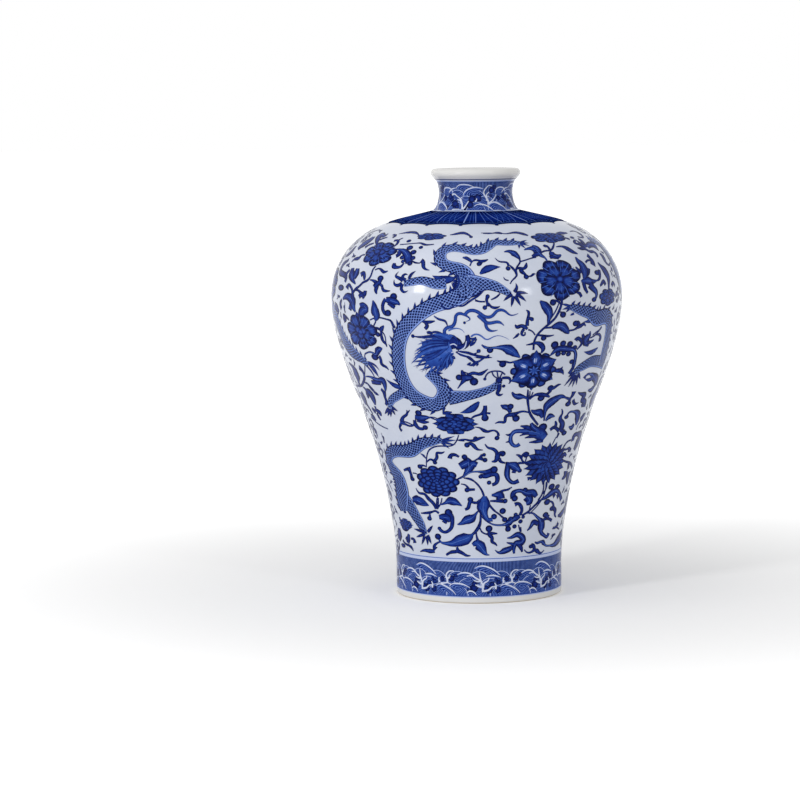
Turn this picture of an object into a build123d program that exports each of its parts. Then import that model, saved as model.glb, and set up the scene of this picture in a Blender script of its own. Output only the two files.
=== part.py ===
"""Meiping vase: a high-shouldered porcelain vase with a short neck, thrown in five sections.

The sections are thrown apart, trimmed, and luted rim to rim with slip before the glaze firing:
a foot with its base, two lengths of flaring wall, a domed shoulder, and a neck with a rolled lip.
Millimetres, +Z up. The origin is the centre of the foot ring, on the plane that the vase stands on.
"""

import math
import os

from build123d import *

# Foot ring and base. The base is hollowed from below, so that only the ring touches the table.
foot_rim_radius = 67.3
foot_rim_height = 6.0
foot_edge_rounding = 1.4
foot_ring_width = 6.5
foot_ring_taper = 2.0
base_recess = 9.0
base_thickness = 8.0
floor_rounding = 26.0

# Wall. The outside is one chain of arcs, each tangent to the last, as a template for it would be cut.
# A lean is the wall's angle from upright where an arc ends: outward is positive, inward negative.
wall_thickness = 6.0
straight_foot_length = 11.5
foot_lean_angle = -0.6
heel_arc_radius = 256.0
heel_lean_angle = 8.75
flank_arc_radius = 498.0
flank_lean_angle = 21.9
upper_flank_arc_radius = 318.0
upper_flank_lean_angle = 13.4
belly_arc_radius = 112.0
belly_lean_angle = -3.0
dome_arc_radius = 59.6
dome_lean_angle = -60.6
brow_arc_radius = 101.8
brow_lean_angle = -76.7
shoulder_slope_length = 24.9

# Neck and lip
neck_root_arc_radius = 6.4
neck_root_lean_angle = -26.0
neck_arc_radius = 25.0
neck_lean_angle = 20.0
lip_hollow_arc_radius = 3.5
lip_lean_angle = 43.0
lip_underside_length = 5.1
lip_bead_radius = 3.8
neck_wall_thickness = 5.0
throat_rounding = 8.0

# Measures that follow from others. The neck's waist lies inside the end of its root arc.
foot_inner_radius = foot_rim_radius - foot_edge_rounding - foot_ring_width
crest_lean_angle = -90.0
quarter_turn = 90.0
neck_waist_depth = neck_arc_radius * (1 - math.cos(math.radians(neck_root_lean_angle)))

# The wall's arcs from the foot to the brow of the shoulder: radius, and lean where it ends
wall_arcs = (
    (heel_arc_radius, heel_lean_angle),
    (flank_arc_radius, flank_lean_angle),
    (upper_flank_arc_radius, upper_flank_lean_angle),
    (belly_arc_radius, belly_lean_angle),
    (dome_arc_radius, dome_lean_angle),
    (brow_arc_radius, brow_lean_angle),
)
neck_arcs = (
    (neck_root_arc_radius, neck_root_lean_angle),
    (neck_arc_radius, neck_lean_angle),
    (lip_hollow_arc_radius, lip_lean_angle),
)


def climb(lower, arcs, lean):
    """Arcs that carry the outside up from the end of a lower edge, which has the given lean."""
    edges = []
    for arc_radius, next_lean in arcs:
        lower = JernArc(lower @ 1, lower % 1, radius=arc_radius, arc_size=lean - next_lean)
        edges.append(lower)
        lean = next_lean
    return edges


def descend(upper, arcs, lowest_lean):
    """The inside of the same arcs, going down. An arc that bends outward has its centre outside."""
    leans = [lowest_lean] + [arc_lean for _, arc_lean in arcs]
    edges = []
    for index in reversed(range(len(arcs))):
        turn = leans[index + 1] - leans[index]
        inward = wall_thickness if turn > 0 else -wall_thickness
        upper = JernArc(upper @ 1, upper % 1, radius=arcs[index][0] + inward, arc_size=turn)
        edges.append(upper)
    return edges


# The right half of the vase cut down its axis: foot ring, wall, neck, lip, throat and floor
with BuildSketch(Plane.XZ) as wall_profile:
    with BuildLine():
        foot_edge = TangentArc(
            (foot_rim_radius - foot_edge_rounding, 0),
            (foot_rim_radius, foot_edge_rounding),
            tangent=(1, 0),
        )
        foot_rim = Line(foot_edge @ 1, (foot_rim_radius, foot_rim_height))
        straight_foot = PolarLine(foot_rim @ 1, straight_foot_length, angle=90 - foot_lean_angle)
        wall = climb(straight_foot, wall_arcs, foot_lean_angle)
        slope = PolarLine(wall[-1] @ 1, shoulder_slope_length, angle=90 - brow_lean_angle)
        neck = climb(slope, neck_arcs, brow_lean_angle)
        lip_underside = PolarLine(neck[-1] @ 1, lip_underside_length, angle=90 - lip_lean_angle)
        lip_bead = JernArc(
            lip_underside @ 1,
            lip_underside % 1,
            radius=lip_bead_radius,
            arc_size=lip_lean_angle - crest_lean_angle,
        )
        neck_waist_radius = (neck[0] @ 1).X - neck_waist_depth
        throat_radius = neck_waist_radius - neck_wall_thickness
        mouth_rounding = (lip_bead @ 1).X - throat_radius
        mouth = JernArc(lip_bead @ 1, lip_bead % 1, radius=mouth_rounding, arc_size=quarter_turn)
        way_down = slope % 1 * -1
        inner_slope_top = slope @ 1 + Vector(way_down.Y, -way_down.X) * wall_thickness
        throat_drop = (inner_slope_top.X - throat_radius) * way_down.Y / way_down.X
        throat_corner = Vector(throat_radius, inner_slope_top.Y - throat_drop)
        throat = Line(mouth @ 1, throat_corner)
        inner_slope = Line(throat @ 1, inner_slope_top + way_down * shoulder_slope_length)
        inner_wall = descend(inner_slope, wall_arcs, foot_lean_angle)
        floor_corner = inner_wall[-1] @ 1
        floor = Line(floor_corner, (0, floor_corner.Y))
        axis_line = Line(floor @ 1, (0, base_recess))
        underside = Line(axis_line @ 1, (foot_inner_radius - foot_ring_taper, base_recess))
        ring_inside = Line(underside @ 1, (foot_inner_radius, 0))
        resting_face = Line(ring_inside @ 1, foot_edge @ 0)
    make_face()
    fillet(wall_profile.vertices().sort_by_distance(throat_corner)[0], throat_rounding)
    fillet(wall_profile.vertices().sort_by_distance(floor_corner)[0], floor_rounding)

# The luting seams are where one length of the template gives way to the next
foot_seam_height = (wall[0] @ 1).Y
flank_seam_height = (wall[1] @ 1).Y
belly_seam_height = (wall[3] @ 1).Y
neck_seam_height = (slope @ 1).Y
vase_height = (lip_bead @ 1).Y


def wall_between(bottom, top):
    """The slice of the profile from one seam's height to the next."""
    add(wall_profile.sketch_local)
    with Locations((0, (bottom + top) / 2)):
        Rectangle(2 * vase_height, top - bottom, mode=Mode.INTERSECT)


with BuildPart() as foot_and_base:
    with BuildSketch(Plane.XZ):
        wall_between(-foot_rim_height, foot_seam_height)
    revolve(axis=Axis.Z)

with BuildPart() as lower_body:
    with BuildSketch(Plane.XZ):
        wall_between(foot_seam_height, flank_seam_height)
    revolve(axis=Axis.Z)

with BuildPart() as upper_body:
    with BuildSketch(Plane.XZ):
        wall_between(flank_seam_height, belly_seam_height)
    revolve(axis=Axis.Z)

with BuildPart() as shoulder:
    with BuildSketch(Plane.XZ):
        wall_between(belly_seam_height, neck_seam_height)
    revolve(axis=Axis.Z)

with BuildPart() as neck_and_lip:
    with BuildSketch(Plane.XZ):
        wall_between(neck_seam_height, vase_height + foot_rim_height)
    revolve(axis=Axis.Z)

sections = {
    "foot_and_base": foot_and_base,
    "lower_body": lower_body,
    "upper_body": upper_body,
    "shoulder": shoulder,
    "neck_and_lip": neck_and_lip,
}
os.makedirs("parts", exist_ok=True)
for name, section in sections.items():
    section.part.label = name
    export_step(section.part, f"parts/{name}.step")

seams = (foot_seam_height, flank_seam_height, belly_seam_height, neck_seam_height)
print("height", round(vase_height, 2), "seams", [round(seam, 2) for seam in seams])
print("widest", round(2 * upper_body.part.bounding_box().max.X, 2))
print("lip radius", round(neck_and_lip.part.bounding_box().max.X, 2))
print("throat radius", round(throat_radius, 2))
print("throat from", round((mouth @ 1).Y, 2), "down to the corner at", round(throat_corner.Y, 2))
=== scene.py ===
"""A meiping vase in blue and white: turned porcelain sections, painted in cobalt under a clear glaze.

The sections are turned from the outline of the solid model. The painting is laid on them as thin
patches, each a brush stroke that follows the glaze. Shapes are worked out in millimetres and
degrees or radians, and go into the meshes in metres.
"""

import math

import bpy
import numpy as np
from mathutils import Matrix, Vector


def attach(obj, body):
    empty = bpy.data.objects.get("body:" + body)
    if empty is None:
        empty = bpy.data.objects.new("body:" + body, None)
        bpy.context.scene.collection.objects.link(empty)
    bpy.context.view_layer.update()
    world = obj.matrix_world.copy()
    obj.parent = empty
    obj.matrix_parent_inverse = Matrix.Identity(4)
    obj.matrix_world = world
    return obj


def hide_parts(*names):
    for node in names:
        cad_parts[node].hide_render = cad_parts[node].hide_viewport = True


bl_info = {
    "name": "Blue and white meiping vase",
    "version": (1, 0, 0),
    "blender": (4, 5, 0),
    "location": "3D View > Sidebar > Vase",
    "description": "Porcelain vase with dragons, lotus scroll and wave bands painted under the glaze",
    "category": "Add Mesh",
}

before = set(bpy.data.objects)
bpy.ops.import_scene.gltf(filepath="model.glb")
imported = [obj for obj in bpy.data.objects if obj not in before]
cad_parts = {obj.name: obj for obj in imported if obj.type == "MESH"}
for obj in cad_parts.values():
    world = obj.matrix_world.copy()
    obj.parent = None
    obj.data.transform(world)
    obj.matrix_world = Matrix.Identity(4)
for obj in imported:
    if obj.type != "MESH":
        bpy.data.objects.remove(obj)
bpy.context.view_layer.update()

MM = 0.001
SECTIONS = ("foot_and_base", "lower_body", "upper_body", "shoulder", "neck_and_lip")

# The camera of the photograph: place in mm, angles in degrees, focal length and image size in pixels,
# sensor in mm
CAMERA_PLACE = (0.0, -2400.0, 390.0)
CAMERA_PITCH = 84.46
CAMERA_YAW = 1.505
CAMERA_ROLL = -0.64
CAMERA_FOCAL = 2962.0
IMAGE_SIZE = 800.0
SENSOR_WIDTH = 36.0
# Where along a sight line the glaze is looked for, and in what steps, in mm
SIGHT_FROM = 2250.0
SIGHT_TO = 2445.0
SIGHT_STEP = 0.2


# Outline of the glaze


# A face looks outward or inward when the cosine of its angle to the way out is more than this
LEAST_OUTWARD = 0.05


def node_facets(name):
    """The triangles of a CAD node, and how far each faces away from the axis, from -1 to 1."""
    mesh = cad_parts[name].data
    points = np.empty(len(mesh.vertices) * 3)
    mesh.vertices.foreach_get("co", points)
    points = points.reshape(-1, 3) / MM
    corners = np.empty(len(mesh.loops), int)
    mesh.loops.foreach_get("vertex_index", corners)
    facets = points[corners.reshape(-1, 3)]
    across = np.cross(facets[:, 1] - facets[:, 0], facets[:, 2] - facets[:, 0])
    middle = facets.mean(axis=1)
    outward = (across[:, :2] * middle[:, :2]).sum(axis=1)
    scale = np.linalg.norm(across, axis=1) * np.linalg.norm(middle[:, :2], axis=1)
    return facets, outward / np.maximum(scale, 1e-9)


def node_rows(name, side):
    """Radius and height of each ring of corners on the faces that look outward (1) or inward (-1)."""
    facets, facing = node_facets(name)
    corners = facets[side * facing > LEAST_OUTWARD].reshape(-1, 3)
    heights, ring = np.unique(np.round(corners[:, 2], 3), return_inverse=True)
    radii = np.bincount(ring.ravel(), np.hypot(corners[:, 0], corners[:, 1]))
    return np.column_stack((radii / np.bincount(ring.ravel()), heights))


class Outline:
    """The outer face of the vase from its foot to its lip, against the distance along it in mm.

    Its lean is averaged more widely on the body, from one height to another, than on the foot and the neck.
    """

    STEP = 0.25
    BODY_EASE = 5.0
    NECK_EASE = 0.7
    BODY_FROM = 8.0
    BODY_TO = 300.0

    def __init__(self):
        rows = np.vstack([node_rows(name, 1) for name in SECTIONS])
        heights, first = np.unique(rows[:, 1], return_index=True)
        rows = rows[first]
        chords = np.diff(rows, axis=0)
        lengths = np.hypot(chords[:, 0], chords[:, 1])
        places = np.append(0.0, np.cumsum(lengths))
        self.length = places[-1]
        self.along = np.arange(0.0, self.length, self.STEP)
        self.radius = np.interp(self.along, places, rows[:, 0])
        self.height = np.interp(self.along, places, rows[:, 1])
        lean = self.eased_lean(chords, lengths, places)
        self.out = np.cos(lean)
        self.up = -np.sin(lean)

    def eased_lean(self, chords, lengths, places):
        """The wall's angle from upright along the outline.

        Half way along a chord of an arc the arc runs parallel to the chord, so each chord gives its own
        angle there, and a long straight one gives it as far as half its neighbour's length from its ends.
        The angles between are linear, and then averaged with a bell-shaped weight.
        """
        angle = np.arctan2(chords[:, 0], chords[:, 1])
        before = np.append(lengths[0], lengths[:-1])
        after = np.append(lengths[1:], lengths[-1])
        start = places[:-1] + np.minimum(lengths, before) / 2
        stop = places[1:] - np.minimum(lengths, after) / 2
        knots = np.column_stack((start, np.maximum(start, stop) + 1e-6)).ravel()
        lean = np.interp(self.along, knots, np.repeat(angle, 2))
        body = (self.height > self.BODY_FROM) & (self.height < self.BODY_TO)
        return np.where(body, self.average(lean, self.BODY_EASE), self.average(lean, self.NECK_EASE))

    def average(self, values, spread):
        """Values averaged over their neighbours, by a bell curve of the given spread in mm."""
        reach = int(3 * spread / self.STEP)
        bell = np.exp(-0.5 * (np.arange(-reach, reach + 1) * self.STEP / spread) ** 2)
        padded = np.pad(values, reach, mode="edge")
        return np.convolve(padded, bell / bell.sum(), mode="valid")

    def radius_at(self, along):
        """The radius at a distance along the outline."""
        return np.interp(along, self.along, self.radius)

    def height_at(self, along):
        """The height at a distance along the outline."""
        return np.interp(along, self.along, self.height)

    def along_at(self, height):
        """The distance along the outline at a height."""
        return np.interp(height, self.height, self.along)

    def points(self, angle, along, lift):
        """Points and outward directions at an angle round the axis and a distance along the outline.

        The angle runs from the front, -Y, towards +X. A point is the outline's, turned about the axis by
        the angle and moved outward by the lift.
        """
        radius, height = self.radius_at(along), self.height_at(along)
        out = np.interp(along, self.along, self.out)
        up = np.interp(along, self.along, self.up)
        spread = np.stack((np.sin(angle), -np.cos(angle)), axis=-1)
        normals = np.concatenate((spread * out[..., None], up[..., None]), axis=-1)
        points = np.concatenate((spread * radius[..., None], height[..., None]), axis=-1)
        return points + normals * np.asarray(lift)[..., None], normals


outline = Outline()


# Sight lines of the photograph


def camera_turn():
    """The camera's turn: roll about its line of sight, pitch up from straight down, then yaw."""
    yaw = Matrix.Rotation(math.radians(CAMERA_YAW), 4, "Z")
    pitch = Matrix.Rotation(math.radians(CAMERA_PITCH), 4, "X")
    roll = Matrix.Rotation(math.radians(CAMERA_ROLL), 4, "Z")
    return yaw @ pitch @ roll


def on_glaze(pixels):
    """Angle round the axis and distance along the outline where sight lines meet the glaze.

    Each line is walked in even steps past the axis and stops at the first step whose distance from the
    axis is less than the vase's radius at that height. A line that misses stops where it comes nearest.
    """
    pixels = np.asarray(pixels, float).reshape(-1, 2)
    middle = IMAGE_SIZE / 2
    ahead = np.full(len(pixels), -CAMERA_FOCAL)
    sight = np.column_stack((pixels[:, 0] - middle, middle - pixels[:, 1], ahead))
    sight = sight @ np.array(camera_turn().to_3x3()).T
    sight /= np.linalg.norm(sight, axis=1, keepdims=True)
    steps = np.arange(SIGHT_FROM, SIGHT_TO, SIGHT_STEP)
    walked = np.array(CAMERA_PLACE) + steps[None, :, None] * sight[:, None, :]
    reach = np.hypot(walked[..., 0], walked[..., 1])
    gap = reach - np.interp(walked[..., 2], outline.height, outline.radius)
    met = np.argmax(gap < 0, axis=1)
    nearest = np.argmin(gap, axis=1)
    stop = np.where((gap < 0).any(axis=1), met, nearest)
    found = walked[np.arange(len(pixels)), stop]
    return np.column_stack((np.arctan2(found[:, 0], -found[:, 1]), outline.along_at(found[:, 2])))


# Meshes


# The turned sections: step of their outer rows in mm, height in mm below which an inner row belongs to the
# recess of the foot, and the turn from which an edge is sharp
TURNED_STEP = 1.5
RECESS_LIMIT = 12.0
SHARP_TURN = math.radians(35)


def add_piece(name, points, faces, material, normals=None, corner_normals=None, attributes=()):
    """Puts arrays into a mesh object of this material, which rides on the vase and takes a material slot."""
    mesh = bpy.data.meshes.new(name)
    mesh.from_pydata((points * MM).tolist(), [], faces)
    mesh.polygons.foreach_set("use_smooth", np.ones(len(mesh.polygons), bool))
    for key, kind, values in attributes:
        field = "vector" if kind == "FLOAT_VECTOR" else "value"
        mesh.attributes.new(key, kind, "POINT").data.foreach_set(field, values.ravel())
    if normals is not None:
        mesh.normals_split_custom_set_from_vertices(normals.tolist())
    if corner_normals is not None:
        mesh.normals_split_custom_set(corner_normals.tolist())
    mesh.materials.append(material)
    piece = bpy.data.objects.new(name, mesh)
    bpy.context.scene.collection.objects.link(piece)
    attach(piece, "root")
    return piece


def turned_profile(name):
    """The closed outline of one section, as radius and height: up its outer face and down its inner one.

    It also gives how far along the outline of the vase the outer rows lie.
    """
    outer = node_rows(name, 1)
    low, high = outline.along_at(outer[0, 1]), outline.along_at(outer[-1, 1])
    count = int(np.ceil((high - low) / TURNED_STEP)) + 1
    along = np.linspace(low, high, count)
    smooth = np.column_stack((outline.radius_at(along), outline.height_at(along)))
    smooth[[0, -1]] = outer[[0, -1]]
    inner = node_rows(name, -1)[::-1]
    if name != "foot_and_base":
        return np.vstack((smooth, inner)), along
    ring = inner[inner[:, 1] < RECESS_LIMIT][::-1]
    hollow = inner[inner[:, 1] >= RECESS_LIMIT]
    under = np.array([[0.0, ring[-1, 1]]])
    floor = np.array([[0.0, hollow[-1, 1]]])
    return np.vstack((smooth, hollow, floor, under, ring[::-1])), along


def corner_directions(profile, along):
    """Outward directions of a closed profile, at the start and at the end of each of its chords.

    The direction of a chord is the chord itself, turned a quarter clockwise. Where two chords meet at
    less than a sharp turn, both take the mean there. The glazed outer rows take the outline's direction.
    """
    chords = np.roll(profile, -1, axis=0) - profile
    own = np.column_stack((chords[:, 1], -chords[:, 0]))
    own /= np.maximum(np.linalg.norm(own, axis=1, keepdims=True), 1e-9)
    last = np.roll(own, 1, axis=0)
    mean = own + last
    mean /= np.maximum(np.linalg.norm(mean, axis=1, keepdims=True), 1e-9)
    smooth = ((own * last).sum(axis=1) > math.cos(SHARP_TURN))[:, None]
    start = np.where(smooth, mean, own)
    end = np.roll(np.where(smooth, mean, last), -1, axis=0)
    outer = len(along)
    glazed_out = np.interp(along, outline.along, outline.out)
    glazed_up = np.interp(along, outline.along, outline.up)
    glazed = np.column_stack((glazed_out, glazed_up))
    start[: outer - 1] = glazed[:-1]
    end[: outer - 1] = glazed[1:]
    return start, end


def turn_section(name, segments, material):
    """A section of the vase: its closed profile carried round the axis in even turns.

    The point of row i at turn j is (r sin a, -r cos a, z), with a = 2 pi j / segments. A row on the
    axis is one point, so the faces that meet it are triangles.
    """
    profile, along = turned_profile(name)
    angle = np.arange(segments) * 2 * math.pi / segments
    axial = profile[:, 0] < 1e-6
    sizes = np.where(axial, 1, segments)
    first = np.append(0, np.cumsum(sizes))[:-1]
    turns = np.arange(segments)
    index = np.where(axial[:, None], first[:, None], first[:, None] + turns[None, :])
    rings = [
        np.column_stack((r * np.sin(angle[:n]), -r * np.cos(angle[:n]), np.full(n, z)))
        for (r, z), n in zip(profile, sizes)
    ]
    start, end = corner_directions(profile, along)
    faces, directions = [], []
    for row in range(len(profile)):
        above = (row + 1) % len(profile)
        if axial[row] and axial[above]:
            continue
        ahead = (turns + 1) % segments
        corners = [index[row], index[row][ahead], index[above][ahead], index[above]]
        spins = [angle, angle[ahead], angle[ahead], angle]
        slopes = [start[row], start[row], end[row], end[row]]
        if axial[row]:
            corners, spins, slopes = corners[1:], spins[1:], slopes[1:]
        if axial[above]:
            corners, spins, slopes = corners[:3], spins[:3], slopes[:3]
        faces += np.stack(corners, axis=1).tolist()
        sides = [
            np.column_stack((s[0] * np.sin(a), -s[0] * np.cos(a), np.full(segments, s[1])))
            for s, a in zip(slopes, spins)
        ]
        directions.append(np.stack(sides, axis=1).reshape(-1, 3))
    piece = add_piece(
        name + "_porcelain", np.vstack(rings), faces, material, corner_normals=np.vstack(directions)
    )
    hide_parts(name)


# Brushwork on the glaze


# Millimetres of glaze to a pixel of the photograph, for the half widths of strokes
PIXEL_SPAN = 0.775
# The cosine of the glaze's turn from the front, below which strokes, or blooms, aren't widened any further
LEAST_FACING = 0.36
LEAST_BLOOM_FACING = 0.35
# The painted pieces, and how far above the glaze each lies in mm
LAYERS = {
    "ring_lines": 0.02, "foot_water": 0.04, "foot_waves": 0.055, "foot_hollows": 0.13, "foot_foam": 0.15,
    "neck_water": 0.04, "neck_waves": 0.055, "neck_hollows": 0.13, "neck_foam": 0.15, "collar_ground": 0.04,
    "collar_lines": 0.08, "collar_points": 0.1, "neck_root_line": 0.12, "scroll_stems": 0.03,
    "scroll_fronds": 0.07, "scroll_veins": 0.12, "scroll_sprigs": 0.05, "bloom_petals": 0.08,
    "bloom_lights": 0.14, "dragon_fins_and_flames": 0.09, "dragon_hides": 0.13,
    "dragon_heads_and_claws": 0.18, "dragon_lights": 0.23,
}
# How often the painting of the front is painted round the vase
HALF_TURNS = 2
# Angle and distance along the outline of each corner of that painting
PAINTED = []


def smooth_through(knots, values, places):
    """Values at places on the natural cubic curve through values at knots.

    Between knots the second slope is linear, and it is zero at both ends. The second slopes solve the
    usual system of three neighbours, so that the first slopes meet at each knot.
    """
    gap, count = np.diff(knots), len(knots)
    system = np.eye(count)
    right = np.zeros_like(values)
    slope = np.diff(values, axis=0) / gap[:, None]
    row = np.arange(1, count - 1)
    system[row, row - 1] = gap[:-1]
    system[row, row] = 2 * (gap[:-1] + gap[1:])
    system[row, row + 1] = gap[1:]
    right[1:-1] = 6 * np.diff(slope, axis=0)
    bend = np.linalg.solve(system, right)
    span = np.clip(np.searchsorted(knots, places, side="right") - 1, 0, count - 2)
    left = (places - knots[span])[:, None]
    rest = (knots[span + 1] - places)[:, None]
    width = gap[span][:, None]
    cubic = (bend[span] * rest**3 + bend[span + 1] * left**3) / (6 * width)
    low = (values[span] / width - bend[span] * width / 6) * rest
    high = (values[span + 1] / width - bend[span + 1] * width / 6) * left
    return cubic + low + high


class Brushwork:
    """The patches of one painted piece, gathered stroke by stroke.

    Strokes that follow each other lie a step apart, so that none shares a surface with one that it
    crosses, and the steps start again after a count. Level raises all strokes that are yet to come.
    """

    LIFTS = 14
    LIFT_STEP = 0.003

    def __init__(self, name):
        self.name = name
        self.points, self.normals, self.faces, self.flow, self.ink, self.spots = [], [], [], [], [], []
        self.corners = 0
        self.laid = 0
        self.level = 0.0

    def lay(self, angle, along, run, across, half, ink):
        """One patch, from grids of its points' angles and distances along, and what the brush did there."""
        lift = LAYERS[self.name] + self.level + self.laid % self.LIFTS * self.LIFT_STEP
        points, normals = outline.points(angle, along, np.full(angle.shape, lift))
        rows, columns = angle.shape
        index = np.arange(rows * columns).reshape(rows, columns)
        quads = np.stack((index[:-1, :-1], index[1:, :-1], index[1:, 1:], index[:-1, 1:]), axis=-1)
        quads = quads.reshape(-1, 4)
        flat = np.column_stack(((angle * outline.radius_at(along)).ravel(), along.ravel()))
        first, second = flat[quads[:, 2]] - flat[quads[:, 0]], flat[quads[:, 3]] - flat[quads[:, 1]]
        inward = first[:, 0] * second[:, 1] - first[:, 1] * second[:, 0] < 0
        quads[inward] = quads[inward][:, ::-1]
        self.spots.append(np.column_stack((angle.ravel(), along.ravel())))
        self.points.append(points.reshape(-1, 3))
        self.normals.append(normals.reshape(-1, 3))
        self.faces.append(quads + self.corners)
        flow = np.broadcast_arrays(run, across, half, angle)[:3]
        self.flow.append(np.stack(flow, axis=-1).reshape(-1, 3))
        self.ink.append(np.broadcast_to(ink, angle.shape).ravel())
        self.corners += rows * columns
        self.laid += 1

    def piece(self, material, repeats=1):
        """Makes the piece, with all its patches repeated in even turns round the vase."""
        points, normals = np.vstack(self.points), np.vstack(self.normals)
        faces = np.vstack(self.faces)
        if repeats == HALF_TURNS:
            PAINTED.append(np.vstack(self.spots))
        turned, facing, joined = [], [], []
        for turn in range(repeats):
            spin = 2 * math.pi * turn / repeats
            cos, sin = math.cos(spin), math.sin(spin)
            wheel = np.array([[cos, sin, 0], [-sin, cos, 0], [0, 0, 1]])
            turned.append(points @ wheel)
            facing.append(normals @ wheel)
            joined.append(faces + turn * self.corners)
        flow = np.tile(np.vstack(self.flow), (repeats, 1))
        ink = np.tile(np.concatenate(self.ink), repeats)
        fields = (("flow", "FLOAT_VECTOR", flow), ("ink", "FLOAT", ink))
        add_piece(
            self.name, np.vstack(turned), np.vstack(joined).tolist(), material,
            normals=np.vstack(facing), attributes=fields,
        )


def carried(route, halves, places, across):
    """A route carried sideways: its smooth curve, moved left of its way by across times its half width.

    The half widths belong to the route's points where there are as many of them, and are otherwise
    spread evenly over its length. It gives the points' angles and distances along the outline, and how
    far along the route and how wide each row of them is.
    """
    route = np.asarray(route, float)
    steps = np.diff(route, axis=0) * np.column_stack(
        (outline.radius_at((route[1:, 1] + route[:-1, 1]) / 2), np.ones(len(route) - 1))
    )
    knots = np.append(0.0, np.cumsum(np.maximum(np.hypot(steps[:, 0], steps[:, 1]), 1e-3)))
    where = places * knots[-1]
    middle = smooth_through(knots, route, where)
    radius = outline.radius_at(middle[:, 1])
    way = np.gradient(middle, where, axis=0) * np.column_stack((radius, np.ones(len(radius))))
    way /= np.maximum(np.linalg.norm(way, axis=1, keepdims=True), 1e-9)
    halves = np.asarray(halves, float)
    if len(halves) == len(route):
        half = np.interp(where, knots, halves)
    else:
        half = np.interp(places, np.linspace(0, 1, len(halves)), halves)
    aside = across * half[:, None]
    angle = middle[:, :1] - aside * way[:, 1:] / radius[:, None]
    along = middle[:, 1:] + aside * way[:, :1]
    return angle, along, where, half


def route_length(route):
    """Length of a route in mm, corner to corner."""
    route = np.asarray(route, float)
    steps = np.diff(route, axis=0)
    steps[:, 0] *= outline.radius_at(route[1:, 1])
    return np.hypot(steps[:, 0], steps[:, 1]).sum()


def stroke(work, route, halves, ink, step=1.2, columns=3):
    """A brush stroke: the route carried sideways from one edge to the other, in even steps."""
    count = max(5, int(route_length(route) / step) + 2)
    across = np.linspace(-1, 1, columns)[None, :]
    angle, along, run, half = carried(route, halves, np.linspace(0, 1, count), across)
    work.lay(angle, along, run[:, None], across, half[:, None], ink)


def dab(work, centre, wide, tall, ink, petals=0, dip=0.0, sides=16, rings=2):
    """A round dab: an ellipse filled in rings, whose edge dips by a share of it between petals."""
    share = np.linspace(0, 1, rings + 1)[:, None]
    turn = np.linspace(0, 2 * math.pi, sides + 1)[None, :]
    reach = share * (1 - dip * np.sin(petals * turn / 2) ** 2)
    along = centre[1] + tall * reach * np.sin(turn)
    angle = centre[0] + wide * reach * np.cos(turn) / outline.radius_at(centre[1])
    work.lay(angle, along, share * wide, share + 0 * turn, wide, ink)


def beside(places):
    """A route from angles in degrees and heights in mm."""
    return np.array([(math.radians(turn), outline.along_at(height)) for turn, height in places])


def picked(pixels):
    """A route from pixels of the photograph, each of which may have a third value."""
    return on_glaze([pixel[:2] for pixel in pixels])


def spot(x, y):
    """The place of one pixel of the photograph."""
    return picked(((x, y),))[0]


def widths(picks, share=1.0):
    """Half widths in mm from picks whose third value is one in pixels, times a share."""
    return [pick[2] * PIXEL_SPAN * share for pick in picks]


def seen_halves(places, halves):
    """Half widths in mm on the glaze of a stroke that is seen from the front with the given half widths.

    Where the glaze has turned by an angle t from the front, it is seen narrower by cos t, but no less
    tall. A stroke whose length is seen as a share s of itself is then s / cos t times as wide on the
    glaze as it looks.
    """
    steps = np.gradient(places * (outline.radius_at(places[:, 1]).mean(), 1), axis=0)
    facing = np.maximum(np.cos(places[:, 0]), LEAST_FACING)
    seen = np.hypot(steps[:, 0] * facing, steps[:, 1])
    return np.array(halves) * seen / np.hypot(steps[:, 0], steps[:, 1]) / facing


# How the width of a leaf swells and falls from its base to its tip
LEAF_SHAPE = (0.25, 0.8, 1.0, 0.85, 0.45, 0.0)


def leaf(work, base, tip, half, ink, bend):
    """A pointed leaf from base to tip, bowed to the left of its way by bend times its length."""
    base, tip = np.asarray(base), np.asarray(tip)
    radius = outline.radius_at((base[1] + tip[1]) / 2)
    way = (tip - base) * (radius, 1)
    side = np.array((-way[1] / radius, way[0])) * bend
    route = np.array((base, base * 0.62 + tip * 0.38 + side, tip))
    halves = [share * half for share in LEAF_SHAPE]
    stroke(work, route, halves, ink, step=0.9, columns=5)


# Where the painter's strokes lie, in pixels of the photograph. A third value is a half width in pixels.


# The dragon at the front
MAIN_BODY = (
    (520, 243, 2.6), (513, 242.8, 3.8), (505, 243, 4), (495, 242.6, 4.4), (488, 246, 5.6), (481, 250, 5.5),
    (473, 251, 5), (463, 249, 5), (452, 248, 5.2), (443, 251, 6), (440, 258, 6.6), (444, 264, 6),
    (452, 267, 6.2), (461, 271, 8), (466, 280, 10.5), (464, 290, 10.5), (455, 298, 9), (440, 303, 8),
    (425, 310, 8), (411, 321, 8.5), (402, 333, 8.5), (398.5, 350, 8.3), (400, 370, 8.5), (404, 382, 8.5),
    (412, 394, 8.5), (424, 402, 8.5), (436, 404, 8), (443, 397, 7.6), (443, 388, 7), (437, 380, 6.5),
    (428, 372, 6),
)
TAIL_END = (519, 243)
MAIN_TUFT = ((527, 240), (529, 243), (530, 246), (526, 249), (519, 249))
MAIN_HAUNCH = (
    (459, 286, 10), (467, 286, 13), (475, 285, 11), (482, 284, 7.4), (489, 284.6, 5.8), (496, 286.6, 5.2),
    (503, 290, 4), (510, 294.4, 2.8),
)
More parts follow.
